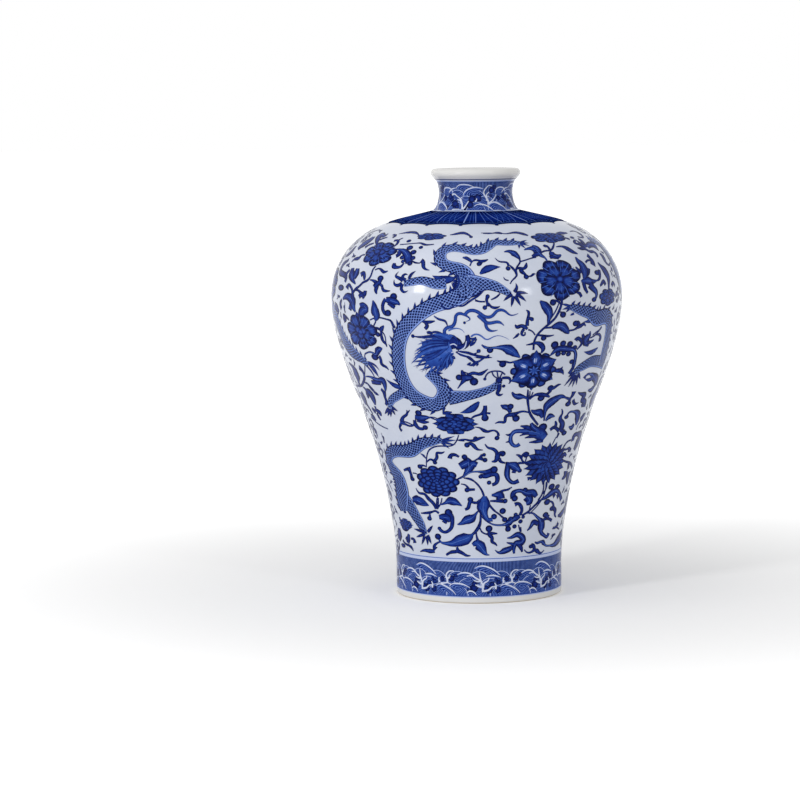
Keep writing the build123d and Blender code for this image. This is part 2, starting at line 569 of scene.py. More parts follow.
MAIN_LEGS = (
    ((448, 398, 8), (456, 397, 7.4), (468, 395.5, 5.4), (485, 391, 4.5), (495, 386, 3.8), (500, 381, 3)),
    ((410, 388, 6), (404, 392, 5), (396.4, 396.5, 4.8), (391, 401.6, 4.2), (390, 408, 3)),
    ((446, 283, 6), (436, 284, 5.2), (424, 281, 4.6), (412, 282, 4), (404, 284, 3)),
)
MAIN_CLAWS = (
    ((512, 294), (508, 297), (503.4, 301)), ((513, 296), (512.4, 301), (511, 307)),
    ((515, 296), (518, 301), (520.6, 306)), ((516, 294), (521, 297), (526, 301.4)),
    ((516, 293), (522, 292.6), (528, 293.6)), ((514, 292), (516.6, 287.6), (515.6, 283)),
    ((389, 408), (385, 414)), ((390, 409), (388, 416)), ((391, 409), (391, 417)), ((392, 409), (395.4, 415)),
    ((392, 407), (398, 411)), ((403, 281), (399, 278), (396, 276), (399, 271.6)),
    ((402, 283), (398, 285.4), (394.6, 284), (394.4, 279.6)),
    ((403, 284), (401.4, 288.6), (404, 292), (408.4, 290.4)),
    ((406, 280), (402.6, 277), (405, 274.4), (408, 275)), ((409, 279), (411, 275), (416, 271)),
)
# Base, tip and half width of a flame
MAIN_FLAMES = (
    ((480, 274), (501, 267), 4), ((455, 278), (432, 275.5), 4.5), ((479, 401.6), (459.7, 413), 4),
    ((403.6, 387), (386, 379), 3),
)
MAIN_ARCS = (
    ((441, 303), (444, 308), (450, 308.5), (455, 305)),
    ((455, 305), (462, 306), (470, 301), (478, 296), (485, 289)),
    ((455, 272), (459, 280), (457, 287), (452, 291)),
)

# Its mane and its head
MANE_ROOTS = ((452, 337), (449, 341), (448, 346), (449, 351), (452, 357))
MANE_EDGE = (
    (449, 334.7), (436, 334), (430, 335), (424, 338), (420, 340), (416, 348.5), (413.8, 353.6),
    (413.3, 358.7), (411, 363.3), (415, 368), (422, 372.5), (430, 376), (438, 373), (443.4, 371), (450, 367),
    (455.6, 359),
)
MANE_MASS = ((451, 347, 8), (442, 350, 12), (432, 353, 15), (424, 354, 11))
HEAD_MASS = ((447, 343, 5.5), (452, 342.5, 7.4), (457, 344, 6), (460, 347, 3.6))
HEAD_STROKES = (
    ((449, 334.7), (454, 336.4), (457.7, 343.4), (457, 348)),
    ((456, 349), (461, 349), (466, 345.5), (467.5, 340), (466.8, 335.5)),
    ((470, 345), (472.5, 341), (475.5, 338)), ((470, 346), (474, 343), (476, 341)),
    ((457.7, 350.5), (463.8, 352), (468.4, 352.6), (473.5, 354), (478, 352)),
    ((456, 351.5), (461, 355), (465, 356), (470, 357.7), (475.5, 362), (484, 358), (489.5, 355.7)),
    ((475, 361), (472, 365), (468.4, 365)), ((475, 361), (475, 364), (473.5, 366)),
    ((476, 361), (477.5, 364), (476.5, 366)), ((446, 337), (440, 333), (434, 332), (429, 334)),
    ((437, 336), (430, 336), (420, 337), (413, 336)), ((434, 316), (440, 319.5), (445, 321), (447.5, 326)),
    ((470, 338), (473, 339), (476, 337)), ((471, 362.6), (467, 365)), ((476, 362), (478.4, 364.6)),
    ((486, 358), (489, 354.6)),
)
# Parts of the face and the front paw. A third value is a half width in pixels.
FACE_STROKES = (
    ((467, 335, 2), (468, 339, 2.7), (466.6, 344, 3), (462, 347, 3), (456.6, 346.6, 2.4)),
    ((457, 352, 0.8), (465, 352.4, 1), (470, 353.6, 1.2), (476, 356, 2), (482, 357, 1.8), (488, 357.4, 1),
     (492, 357.4, 0.3)),
    ((456, 352, 1), (465, 355.4, 1), (471, 359.4, 1.3), (475, 363, 1.5), (473, 366.4, 0.5)),
    ((427, 333, 1.4), (430, 332.4, 1.6), (432, 335, 1.4)),
    ((485, 378, 0.8), (487, 374, 0.8), (491, 371.6, 0.8), (496, 371, 0.8), (501, 371.6, 0.8),
     (505, 374.6, 0.8)),
    ((492, 372, 0.7), (494, 376, 0.7), (497, 378, 0.7)),
    ((497, 371.6, 0.7), (497.6, 375, 0.7), (498, 378, 0.7)),
    ((502, 373, 0.7), (500.6, 376, 0.7), (499, 379, 0.7)),
    ((502, 378, 1.4), (506, 377.6, 1.6), (509.4, 378.4, 1.5), (510, 382, 0.9), (508.6, 383.8, 0.4)),
    ((499, 384, 2.4), (498.6, 390, 2.2), (497.4, 393.6, 1.8), (500, 395, 1.4), (503, 393.6, 0.3)),
)
# Dots of the head and the front paw: place and radius
HEAD_DOTS = (
    (478.6, 351, 2.2), (454, 347.4, 1.6), (413, 336, 2), (464.5, 322.7, 1.5), (475.5, 339.5, 1.6),
    (499, 380, 3.6), (484.8, 379, 1.7), (503.6, 386, 1.8),
)
HEAD_LIGHTS = (
    ((451.5, 352.6), (454, 351.5)), ((450, 345), (454, 344), (457, 346)),
    ((458, 352), (464, 354), (470, 355.5), (476, 357)), ((459, 350.4), (464, 348), (466.4, 341)),
)
WHISKERS = (
    ((471, 336.7), (474, 334.7), (480, 335.2), (486.4, 339.4), (494.6, 336.3), (509, 339.4)),
    ((448.5, 330.6), (453.6, 328.6), (458.7, 328.6), (462.8, 330.6), (464.3, 333)),
)
RIBBONS = (
    ((445, 334.7), (444.4, 331.6), (447.4, 327.6), (452.6, 326), (454.6, 323), (455.4, 319.4), (456, 315.8),
     (459.2, 313.5), (463.3, 314.3), (467.9, 316.8), (470, 319), (466.3, 321.4)),
    ((464.8, 314.8), (468.4, 311.2), (473.5, 310.5), (480, 313.5), (486, 317), (492, 316), (497, 311),
     (502, 310), (506, 312), (510, 315), (518, 313.5)),
    ((478, 315), (481, 318), (484.4, 320), (486.4, 327), (490.5, 330.7), (497.7, 330)),
    ((482, 319), (488, 323), (498.7, 322), (504, 325.6)),
)

# The dragons at the right and the left of the view
SIDE_BODIES = (
    ((601, 364, 7), (603.6, 355, 9), (606, 345, 8.4), (607.6, 336, 8), (609, 326, 8), (608, 318, 8.4),
     (602, 317, 8.6), (596, 318, 8.6), (590, 313, 7), (583, 311, 5.6), (576, 308.6, 4.4), (570, 307, 2.8)),
    ((442, 440.4, 2.8), (437, 440.6, 4), (432, 441.4, 5), (422, 443.5, 6.5), (411.7, 450, 7.6),
     (401.5, 451, 7), (392, 452, 7), (389, 460, 7), (393, 469, 8), (398, 476.5, 10), (401.6, 490, 12),
     (402.3, 503, 11), (404, 511, 7)),
)
SIDE_LEGS = (
    ((604, 363, 7), (596, 361, 6.6), (590, 362, 6.2), (583, 366, 5.4), (577, 370, 4.4), (574, 374, 3.2)),
    ((404, 497, 9), (410, 506, 8.4), (416, 516, 7), (421.6, 525.4, 5.4), (425.5, 534.5, 3)),
)
SIDE_CLAWS = (
    ((574, 374), (564, 386)), ((575, 375), (568, 387)), ((576, 375), (572, 387)), ((577, 375), (576, 385)),
    ((578, 373), (580, 379)), ((574, 372), (568, 377)), ((573, 370), (572, 362)), ((425, 532), (414, 528.7)),
    ((425, 534), (416.4, 537)), ((425, 536), (422, 544.4)), ((427, 536), (428, 545.3)),
    ((428, 535), (431.5, 544)), ((428, 532), (433, 525.4)), ((583, 245.6), (575, 239.6)),
    ((583, 246), (575, 242.6)), ((584.6, 245), (578, 238.8)), ((584.6, 248.6), (577.4, 248)),
)
SIDE_FLAMES = (
    ((597.7, 347.6), (583.4, 351.6), 3), ((413, 500), (429, 505), 4), ((367.9, 363), (379, 377), 2.5),
    ((596, 314), (583, 322), 2.6), ((590, 322), (610, 318), 3), ((595.6, 375), (584.4, 379), 2.6),
)
SIDE_TUFTS = (
    ((442, 440.4), (455, 436)), ((442, 441), (457, 440)), ((442, 442), (456, 445)), ((441, 442), (450, 449)),
    ((368, 362), (376, 366), (380, 371)), ((368, 363), (374, 371), (380, 378)),
    ((366, 365), (372, 372), (376, 380)), ((570, 306), (560.6, 303.6)), ((570, 307), (562, 309.6)),
    ((570, 308), (565.4, 312.6)), ((574, 313.4), (569.6, 315.4)),
)

# A dragon that lies across the side of the vase: the picks of its two ends, one seen at the right edge of the
# photograph and one at the left, half a turn on
FLANK_HEAD_END = ((589, 240, 3), (594, 241, 5.4), (600, 245, 7), (606, 252, 8), (612, 262, 9), (617, 274, 9))
FLANK_TAIL_END = (
    (336.6, 320, 9), (340.6, 331, 9.4), (345.4, 342, 9.4), (351, 350, 8.4), (357, 355.6, 6.4),
    (363, 360, 4.4), (368.5, 365, 2.8),
)

# Blooms: kind, place, half width and half height
FLOWERS = (
    ("rose", 379, 253, 16, 15.5), ("rose", 560, 279, 23, 21.5), ("lotus", 534, 370.5, 24, 21),
    ("rose", 360.7, 332, 16, 18.5), ("rose", 431, 236.5, 15, 6.5), ("rose", 549, 237.5, 17.5, 8.5),
    ("rose", 608, 297, 9, 9), ("bud", 455, 424, 22, 12), ("peony", 437, 481.4, 22, 17),
    ("aster", 547.7, 463.3, 21, 22), ("bud", 405.6, 524, 7, 6),
)

# At the side, which the photograph doesn't show: angle from the front in degrees and height in mm, and for a
# bloom its half width and half height in mm
SIDE_FLOWERS = (
    ("rose", 99, 254, 15, 14), ("aster", 89.5, 171, 12, 12), ("lotus", 92, 139, 14, 14),
    ("peony", 84, 74, 12, 12),
)
SIDE_STEMS = (
    ((90, 84), (100, 97), (101, 112), (94, 126)), ((91, 152), (90, 159)),
    ((97, 151), (106, 166), (107, 184), (100, 198)), ((82, 62), (88, 52), (98, 47), (108, 50)),
    ((100, 97), (108, 94), (113, 86)), ((106, 166), (113, 166)), ((99, 240), (94, 230), (86, 226)),
    ((86, 182), (79, 191), (80, 202), (88, 206)),
)

# Thin stems of the scroll
STEMS = (
    ((481, 233), (490, 233), (502, 234)), ((412, 261), (416, 263), (420, 263)),
    ((470, 262), (475, 260.5), (480, 261)), ((420, 320), (425, 322)), ((462, 371), (470, 374), (487, 370)),
    ((551.7, 348.6), (563, 348.4), (575, 348.6)), ((583.4, 340.4), (577, 349.6)),
    ((592.6, 335), (598.7, 330)), ((527.8, 389.4), (527, 399.6), (530, 412), (537, 423)),
    ((563, 396.5), (571, 398.6)), ((562, 409), (561, 420), (556.8, 437)),
    ((576, 430), (578, 425), (582, 420)), ((371, 327), (377, 328.7), (384, 334), (386, 345.5)),
    ((365, 353.7), (365, 371), (364, 381), (359.7, 386), (355.6, 381)), ((366, 382), (373, 390), (378, 394)),
    ((383, 380), (385, 389), (386, 401.6)), ((371, 417), (380, 425), (388, 429)),
    ((409.7, 410), (405.6, 416), (400.5, 421)), ((400.5, 421), (406, 422), (413.8, 425.6)),
    ((418, 413), (416, 418), (417, 425), (421, 429)), ((430, 417.4), (438, 420.5)),
    ((458.7, 435), (457, 440), (453, 445), (443, 446), (435.5, 446.6), (428.8, 450.7), (426.8, 457),
     (426.4, 466.5)),
    ((457, 440), (464.5, 441)), ((465, 475), (456, 480)),
    ((463.7, 478), (472.8, 480.6), (479.4, 486.4), (482.7, 494)), ((438.5, 498), (438, 509)),
    ((437, 498), (436.4, 509)), ((435.5, 511), (422, 513)), ((452, 523), (448, 531), (442, 532)),
    ((480, 510), (480, 521), (476, 529.5), (472, 534.5)), ((490, 505), (495, 511), (503, 517)),
    ((481, 516), (488, 522), (495, 524.7), (503, 524.7)),
    ((544, 481.7), (542.5, 492), (536.5, 503), (527, 513.5)),
    ((546, 482), (544.5, 493), (538.5, 504), (529, 514)), ((530.5, 505), (528.7, 512)),
    ((497.7, 459), (500, 462), (505.5, 463)), ((526, 453.7), (526, 459), (524.4, 462.7)),
    ((503, 491), (512, 487.3)), ((520, 531.6), (518.4, 524.7)), ((561, 396), (556, 402), (548, 408)),
    ((446, 554.4), (450, 552), (458, 551), (463.7, 552.7)), ((552, 529), (558.9, 523)),
    ((560, 300), (556, 310), (549.7, 320)), ((556, 437), (552, 445)), ((533, 392), (530, 399.6)),
)

# Leaves, hooks and swelling stems of the scroll
FRONDS = (
    ((526, 310, 0.3), (528.4, 312, 1), (528.4, 316, 1), (527.4, 321, 1.2), (527, 326, 1.3)),
    ((527, 319, 0.9), (530, 318.4, 1.1), (532, 319.4, 1.5), (532.6, 321, 0.8)),
    ((515, 324.6, 0.4), (517, 327, 1.4), (521, 326, 1.3), (524.6, 327, 1.4), (527.6, 329, 0.9)),
    ((524, 329, 1.1), (522, 332, 1.1), (522, 335, 0.8), (524.6, 335, 0.6), (524.8, 332, 0.5)),
    ((519, 333.4, 0.7), (517, 335.6, 1), (513, 338.6, 0.3)),
    ((528, 329.6, 0.6), (531.6, 331, 0.5), (535, 335, 0.5)),
    ((475, 299.6, 0.4), (480, 301.4, 0.4), (485, 301.8, 0.5)),
    ((487.4, 297, 1.3), (486.6, 300, 1), (487.4, 303.6, 0.9), (487.4, 306.6, 1.2)),
    ((488.4, 303, 0.6), (491.6, 307, 0.9), (495.4, 307.8, 1), (500, 306.4, 0.3)),
    ((500, 293.4, 0.5), (497, 296.6, 0.7), (494, 298.4, 0.6), (491, 299.8, 0.4)),
    ((495, 258, 0.2), (499, 261.4, 0.6), (503, 262, 0.7), (507, 262.8, 0.8), (508.6, 266, 0.9)),
    ((509.4, 265, 0.4), (512, 267.6, 0.9), (514.6, 270.6, 0.8), (516.4, 275, 0.6)),
    ((518, 257, 0.5), (520, 261.6, 0.6), (517.6, 266, 0.6), (516, 271, 0.7), (516.6, 275, 0.7),
     (512.6, 280, 0.5), (510, 284, 0.4)),
    ((520, 261.6, 0.6), (524, 260.6, 0.5), (530, 258.6, 0.5), (536, 257, 0.7)),
    ((516, 269, 0.8), (520, 268, 0.9), (524, 268.4, 1.1), (526, 266, 1.2), (526.4, 262.6, 0.3)),
    ((520, 269, 1), (521.6, 271.6, 1.6), (524.6, 274, 1), (526, 276.6, 1.2)),
    ((528, 276.2, 0.4), (531, 276, 0.7), (533.4, 274.2, 0.9), (535.6, 273.8, 0.2)),
    ((503.4, 277, 0.2), (505, 279.4, 0.5), (508.6, 280.4, 0.4)),
    ((358, 249, 1), (364, 244, 2.2), (370, 240, 2), (374, 236.6, 1)),
    ((365, 247.6, 1), (369, 245, 1), (374, 243.4, 0.7)),
    ((377, 244, 0.6), (378, 239, 1.6), (381, 235, 2.4), (385, 236, 1.2), (388, 233.6, 0.4)),
    ((377.6, 241, 0.8), (383, 238.6, 0.9), (387.6, 237.4, 0.6)),
    ((346, 256, 0.7), (352, 251, 1.4), (356, 246, 0.7)),
    ((393, 234.6, 0.8), (395.4, 236, 0.9), (392.6, 237.6, 1)),
    ((394, 240.8, 1.2), (398, 240.6, 1), (397, 244, 0.9), (393, 247, 0.4)),
    ((398, 240.6, 0.7), (401, 239, 0.6), (403.4, 238, 0.4)),
    ((399, 234, 0.3), (404, 233, 0.9), (409, 232.4, 1.6), (415, 232.6, 1.5), (419, 235, 0.4)),
    ((400, 244.6, 0.5), (406, 244.2, 0.5), (412, 243.6, 0.5), (417, 243.2, 0.5), (421, 243.2, 0.8),
     (424.6, 244.6, 1), (430, 244.8, 0.6), (434, 244.4, 0.5)),
    ((399, 250.6, 1.3), (399.2, 254, 1.6), (396, 256.2, 1.5)),
    ((404, 263, 0.7), (401, 266.4, 0.9), (397, 267.4, 1.2), (394, 266, 1.8), (394.6, 263, 1)),
    ((394, 249.4, 0.5), (400, 249.6, 1), (405, 252, 2.4), (408, 257, 3), (409, 263, 2.4)),
    ((412, 260.6, 0.4), (416, 262.6, 0.5), (420, 263.2, 0.5)),
    ((421, 260.6, 1.8), (423, 262, 1.5), (423.4, 266, 1.3), (425, 268.8, 0.9), (429.4, 270.2, 0.3)),
    ((365, 255, 0.6), (362, 255.4, 0.6), (359, 258, 1.4), (355, 259, 1), (351.6, 262, 0.4)),
    ((349, 259.6, 0.9), (346, 262, 1), (343, 265, 1.3), (341, 269, 1.4), (343, 274, 1.6), (346, 279, 1.3),
     (345, 282, 0.8)),
    ((345, 276, 0.9), (348, 272, 0.9), (350, 270, 0.7)),
    ((353, 268, 1.1), (351.6, 274, 2.2), (352.6, 279, 1.6), (355.6, 284, 0.4)),
    ((358, 268.4, 1.2), (356.4, 273, 2.2), (354, 278, 1.4)),
    ((361, 275, 1.8), (363.6, 273, 1.4), (364.6, 277, 1.1), (364.6, 280, 0.5)),
    ((376, 266, 0.5), (373, 270, 0.6), (371.6, 274, 0.6), (368, 280, 0.8), (363, 282.6, 0.8),
     (359.6, 286, 0.8), (355.6, 289, 0.8), (353.6, 292, 0.8)),
    ((375, 270, 0.5), (379, 268.6, 0.6), (381.6, 270, 1), (384, 272, 1.2), (388, 271, 0.4)),
    ((380.6, 279, 1.6), (380, 281.6, 1.4), (377, 284, 1.4), (374, 287, 1.6)),
    ((370, 279.8, 0.4), (374, 281, 1), (377, 285, 1.6), (376, 290, 1.4), (377, 294, 0.4)),
    ((378, 284, 0.9), (382, 286, 1), (383, 289.6, 1.1), (386, 291, 1), (390.4, 290.8, 0.3)),
    ((347, 288.6, 1.5), (348.6, 285, 1.2), (351, 287, 0.8), (352.4, 291, 0.8), (352.4, 294, 0.8)),
    ((343, 299, 0.6), (346, 296.6, 2.2), (350, 298, 3), (352.6, 302, 3), (353.6, 307, 1.6),
     (355.6, 312, 0.5)),
    ((349, 306, 1.8), (352, 309, 1.5)), ((352.4, 293, 1), (353, 298, 1.3), (354, 304, 1.1)),
    ((353, 292, 0.6), (355.6, 290, 0.7), (359, 291, 0.9), (362, 294, 1.6), (364.6, 294, 1.7),
     (365.4, 290.6, 1.2)),
    ((359, 297, 1.5), (362, 295, 1.4), (364, 298.6, 0.9)),
    ((335, 304, 1.2), (337, 308, 1.8), (339, 313, 0.9)), ((343, 316, 1.5), (345, 318, 1.4), (344, 321, 0.9)),
    ((346, 316, 0.6), (349, 320, 0.6)),
    ((372.8, 300.4, 0.4), (374, 305, 1.8), (375, 311, 3), (376.4, 316, 2.6), (375, 320.6, 0.7)),
    ((386, 299.6, 1.8), (390, 300.4, 2.6), (394, 301.6, 2.8), (398, 303, 1.5), (400, 305, 0.5)),
    ((388, 303, 1), (392, 305.6, 1.5), (395, 307.6, 1.2)),
    ((385.6, 299, 1.2), (383, 304, 1.2), (383, 309.6, 1.2), (385.6, 313.6, 1.4), (388, 314, 1.4)),
    ((370, 320, 0.5), (375, 318, 0.5), (382, 318, 0.6), (387, 319.4, 0.6), (391, 321, 0.8), (393, 325, 1),
     (395, 328, 0.9)),
    ((376, 321, 0.5), (373.6, 326, 0.5), (371, 329, 0.6)),
    ((371, 327, 0.6), (376, 327.6, 0.6), (380, 329.4, 0.7), (381.4, 334, 0.8), (382, 338, 1.2),
     (384, 342, 1), (386, 344, 0.8), (387, 347, 0.3)),
    ((384, 325.6, 0.5), (381.6, 329, 1.7), (380, 331, 0.8)),
    ((365, 354, 0.6), (368, 352.4, 0.6), (373, 353, 0.8), (376, 354.6, 1.6), (377.6, 351, 2.2),
     (380, 349, 2), (382.6, 348.4, 0.4)),
    ((376, 347.6, 0.8), (377, 350, 1.8)),
    ((379, 356, 1.2), (381, 360, 1), (381.6, 363.6, 1.2), (384.4, 366, 1), (387, 367.6, 0.8),
     (388.8, 370, 0.3)),
    ((366, 376.6, 0.5), (370, 376.8, 0.8), (374, 378.6, 1.6), (379, 380, 1.6), (383, 381, 2.6),
     (385, 386, 1.4), (385.4, 391, 0.5)),
    ((371.6, 382, 1.5), (376, 382.6, 1.8), (381, 383, 1.5)),
    ((381, 389, 0.9), (384, 392.6, 1.2), (385, 397, 0.9), (386.4, 401, 1), (386, 405, 0.8)),
    ((363, 381, 0.6), (365, 382.4, 0.6), (368, 384, 0.7), (370.6, 387.6, 1), (373, 390, 1),
     (376, 393.6, 0.9), (379, 395, 0.3)),
    ((359, 367, 1.5), (361, 369, 1.2), (363.6, 373, 0.8), (364.6, 377, 0.8), (363.8, 381, 0.8),
     (362, 385, 0.8), (359, 386, 0.8), (356, 385.6, 0.8)),
    ((349, 363, 0.6), (352, 366, 1), (355, 371, 2), (357, 376, 2), (358.4, 381, 0.8), (359.6, 385, 0.5)),
    ((363, 387, 0.5), (366, 390, 0.8), (367.6, 394, 1.2), (368, 398, 0.5)),
    ((366, 390, 0.9), (369, 392, 2.2), (372, 396, 2.2), (374, 401, 1.5), (375.4, 405, 0.5)),
    ((365, 399, 0.5), (367, 404, 0.6), (370, 409, 0.6), (373, 414, 0.5)),
    ((375, 406, 0.6), (376.6, 410, 1), (380, 413, 1.5), (381, 416, 0.6)),
    ((372, 408, 0.8), (374.6, 411, 1.3), (376, 412.6, 0.8)),
    ((377, 413, 0.7), (379, 417, 0.8), (381, 420, 0.4)), ((371, 415, 0.9), (374, 418, 1.6), (376, 421, 0.9)),
    ((361, 393, 1.6), (364, 399, 1.8), (366, 405, 0.8)),
    ((450, 235, 0.4), (456, 234, 1.4), (463, 233, 1.8), (468, 234.6, 1), (471, 236.6, 0.8)),
    ((483, 233.6, 0.4), (491, 233.6, 0.5), (499, 232.6, 1), (503, 233.6, 0.6), (509, 233.4, 0.8),
     (516, 232.6, 1.5), (523, 234, 1.7), (528, 235.6, 0.8)),
    ((462.6, 257.6, 0.5), (466, 258, 1.4), (470, 260.4, 1.2), (472, 262, 0.5)),
    ((470, 266, 0.5), (471.4, 262.6, 0.5), (475, 260, 0.6), (480, 261, 1), (484, 261, 1.2),
     (488, 259.4, 0.4)),
    ((504, 252, 0.4), (509, 251.4, 1.4), (514, 253.6, 2.6), (518, 257, 1.6), (520, 259.6, 0.5)),
    ((475, 300.6, 0.5), (480, 301.6, 0.6), (485, 301.6, 0.5)),
    ((420, 320, 0.5), (425, 322, 1.2), (430, 322, 1.2), (435, 321, 0.4)),
    ((425, 322, 1), (427, 326, 1.4), (425, 329, 1.2)),
    ((462, 370, 0.7), (463, 374, 1.6), (466.6, 376.6, 1.8), (471, 373.6, 1.2), (476, 373.4, 1.2),
     (481, 374, 1.2), (484.6, 371.6, 0.9), (488, 369, 0.3)),
    ((460.6, 377.6, 1.8), (466, 378, 2.6), (471, 378, 2), (473.6, 380, 1.4)),
    ((464, 380, 1.8), (461, 384, 0.8), (457.6, 388.6, 0.3)),
    ((481.6, 344.6, 0.4), (484.6, 347, 1), (490, 348, 0.9), (496, 347.6, 1), (502, 347.6, 2),
     (509, 349.6, 3.8), (515, 353.6, 2.6), (520, 357.6, 0.5)),
    ((497, 360.6, 0.4), (500, 361.6, 0.8), (505, 361.6, 0.8), (510, 362.6, 0.7), (514, 361.6, 0.7)),
    ((512, 392, 0.6), (514, 395, 1.4), (519, 396.6, 2.6), (524, 397, 1.2), (529, 400, 0.5)),
    ((524, 250, 0.4), (530, 248.5, 1.5), (536, 250, 3.8), (540, 254.6, 1.8), (545, 258, 0.7),
     (547, 261, 0.6)),
    ((532, 245.4, 0.6), (536, 247.6, 2), (538.6, 251, 2.4)),
    ((532, 256.4, 0.8), (536, 254.6, 1.8), (540, 253, 1.4)),
    ((540, 253, 0.7), (546, 250.8, 0.7), (550, 250.4, 0.7), (553, 247, 0.7), (554, 243, 0.5)),
    ((544.6, 246, 1.3), (547, 246.4, 1), (549, 248.6, 0.9), (549.6, 250.6, 0.6)),
    ((556, 247, 0.4), (562, 246.6, 1), (567, 248.6, 2), (572, 251.4, 1.8), (577.6, 253.8, 0.4)),
    ((552, 251.6, 1.4), (552.6, 255, 2.6), (557, 256.4, 2), (561, 254.6, 0.5)),
    ((549.6, 257.6, 1.2), (553, 257, 1.4), (558.6, 259, 0.5)),
    ((557, 234, 1.4), (562, 233, 1.9), (567, 233, 0.8)),
    ((563, 238, 0.5), (567, 238.4, 1), (569.6, 239.4, 0.9)),
    ((575, 240, 0.7), (574.6, 243, 0.8), (579, 244.6, 0.8), (583, 247.6, 1.2)),
    ((578, 239, 0.8), (581.6, 241, 1), (584, 245, 1.6), (586, 247.6, 1.6)),
    ((577.4, 247.6, 0.6), (580, 249, 0.8), (585, 249, 1.2), (590, 251.6, 1.2), (594, 252, 1),
     (596.6, 254.6, 0.9), (597, 257, 0.3)),
    ((587, 246.6, 2), (592, 244.6, 3), (597, 247, 2.8)),
    ((570, 231.6, 0.5), (576, 231.8, 0.7), (580, 234, 0.8), (582.6, 236.4, 0.8), (577.6, 236.8, 0.7)),
    ((587, 255, 1.3), (590, 258, 1), (592, 261, 1.4), (593, 265.4, 1.6)),
    ((585.4, 262.6, 0.7), (587.6, 260.4, 0.8), (591, 260.6, 0.8)),
    ((599.6, 253.6, 0.5), (603, 257, 1.2), (605, 261, 0.8), (608, 264.6, 0.8), (610, 263, 0.8)),
    ((575.4, 257, 0.5), (578, 261, 1.6), (582, 265.4, 2.4), (584, 270, 3.2), (584.4, 275, 2),
     (583.6, 279, 0.7)),
    ((575.4, 267, 0.6), (578, 269.6, 1), (581, 273, 1.2)),
    ((588, 268, 1.4), (588, 272, 1.4), (586, 276, 0.9)),
    ((597.6, 262.4, 0.4), (601, 266.6, 1.2), (604.6, 270.6, 2), (607.6, 276, 1.6), (608.6, 283, 0.8),
     (608.6, 290, 0.5)),
    ((599, 269.6, 0.9), (599.6, 274, 1), (599.4, 278, 0.9), (597, 280.6, 0.6)),
    ((581, 281.6, 0.8), (584, 281, 2), (589, 281, 3.2), (592, 281.4, 2), (597, 280.4, 0.5)),
    ((583.6, 283, 1.4), (585, 288, 1.3), (587.6, 293, 0.8)),
    ((590, 284, 2.8), (593.6, 289, 1.8), (596, 292, 1.4), (596, 297, 0.8), (594, 299.6, 1.2)),
    ((600, 286, 0.6), (602, 283, 1.1), (603.6, 281.4, 1.3), (605.4, 285, 1)),
    ((576.6, 292.6, 0.6), (579.6, 293.6, 1.2), (581.4, 297, 1)), ((610.6, 268, 1), (612.6, 270.6, 0.8)),
    ((611.6, 286, 1), (613, 282.6, 1.2), (614.6, 286, 0.8)),
    ((540, 301, 0.7), (544, 305, 2.8), (548, 310, 3.2), (549.6, 315, 2.2), (548.6, 320, 1.3),
     (547.6, 324, 0.5)),
    ((553, 300.6, 0.8), (557, 301, 0.8), (560.6, 304, 0.6)),
    ((561, 298, 0.5), (561, 305, 0.8), (559, 311, 0.9), (555, 318, 0.8), (550, 323, 0.9), (544, 328, 0.8),
     (538, 334, 0.8), (534.4, 341, 0.8), (533.4, 350, 0.7)),
    ((562.6, 298, 0.4), (562, 305, 0.5)),
    ((552, 327.6, 1.3), (558, 325.6, 2.8), (563, 327, 3.2), (567, 331, 2.2), (569, 333.6, 0.5)),
    ((544, 328, 0.6), (549, 327.6, 0.7), (553, 327, 0.9)), ((560, 312, 0.5), (562, 312.6, 0.8)),
    ((569, 330.6, 0.7), (574, 329.6, 0.7), (577, 327.6, 1), (579, 324.6, 1.1), (577, 322, 1.3)),
    ((577, 328, 0.8), (581, 325.6, 1.4), (583.6, 324, 1.2), (585.6, 326, 0.4)),
    ((536, 335, 0.7), (541, 335.4, 0.8), (545, 336, 1), (549, 336, 0.8), (554, 335, 0.3)),
    ((575.6, 340.6, 1.7), (577, 338.4, 1.3), (580, 339.4, 1.3), (582, 342, 1.3), (580, 346, 0.7),
     (576.6, 349.6, 0.5)),
    ((582.4, 334, 0.8), (583.6, 338, 1.5), (585, 340, 1.4)),
    ((590, 331, 0.3), (589.4, 335, 1.2), (587, 338, 2.2), (585.6, 341, 2.4), (587, 344, 1.9),
     (586.4, 346.6, 1)),
    ((586, 343, 1.5), (590, 342, 1.3), (593.6, 339.6, 0.4)),
    ((590, 338, 0.5), (595, 335, 0.6), (598.6, 331, 0.6), (601.6, 326.6, 0.6)),
    ((596, 334.6, 0.6), (600, 336, 1), (600, 339, 1), (598.4, 340, 1.1)),
    ((549.6, 356, 0.4), (553, 352.6, 1.2), (557, 349.4, 2.2), (563, 348.6, 2.4), (569, 349, 2.4),
     (574, 350.4, 1.2), (575.6, 355, 1.2), (575, 360, 1.1), (574, 365, 1), (572, 369, 1.1), (569, 374, 1.4)),
    ((526, 345, 0.3), (531, 344, 0.8), (537, 343, 1.3), (541, 345, 2), (543, 349, 1.6), (541, 353, 0.5)),
    ((553, 371, 0.8), (558, 370.5, 1.8), (562, 371.5, 1.4), (563.4, 374.5, 0.3)),
    ((558, 371, 1), (561, 369, 1.1), (562.5, 366.5, 0.3)),
    ((584, 378.6, 1.4), (586, 375.6, 0.9), (590, 374, 0.9), (594, 377, 2.5), (596, 382, 1.9),
     (594.6, 386, 1)),
    ((595, 385, 0.8), (592, 389, 2.2), (588, 390, 0.7)),
    ((551, 389, 1.4), (555, 387, 1.2), (558, 385, 1), (561, 384.2, 0.3)),
    ((551, 390, 1.2), (547, 394, 1.1), (543, 396, 1.6)),
    ((530, 399, 0.5), (535, 395, 1), (541, 394.5, 1.7), (545, 395, 1.5), (549.6, 397, 0.7)),
    ((544, 421, 0.5), (545, 412, 1), (547, 406, 3), (551, 402, 3.2), (556, 399, 2.9), (561, 396.6, 1.8),
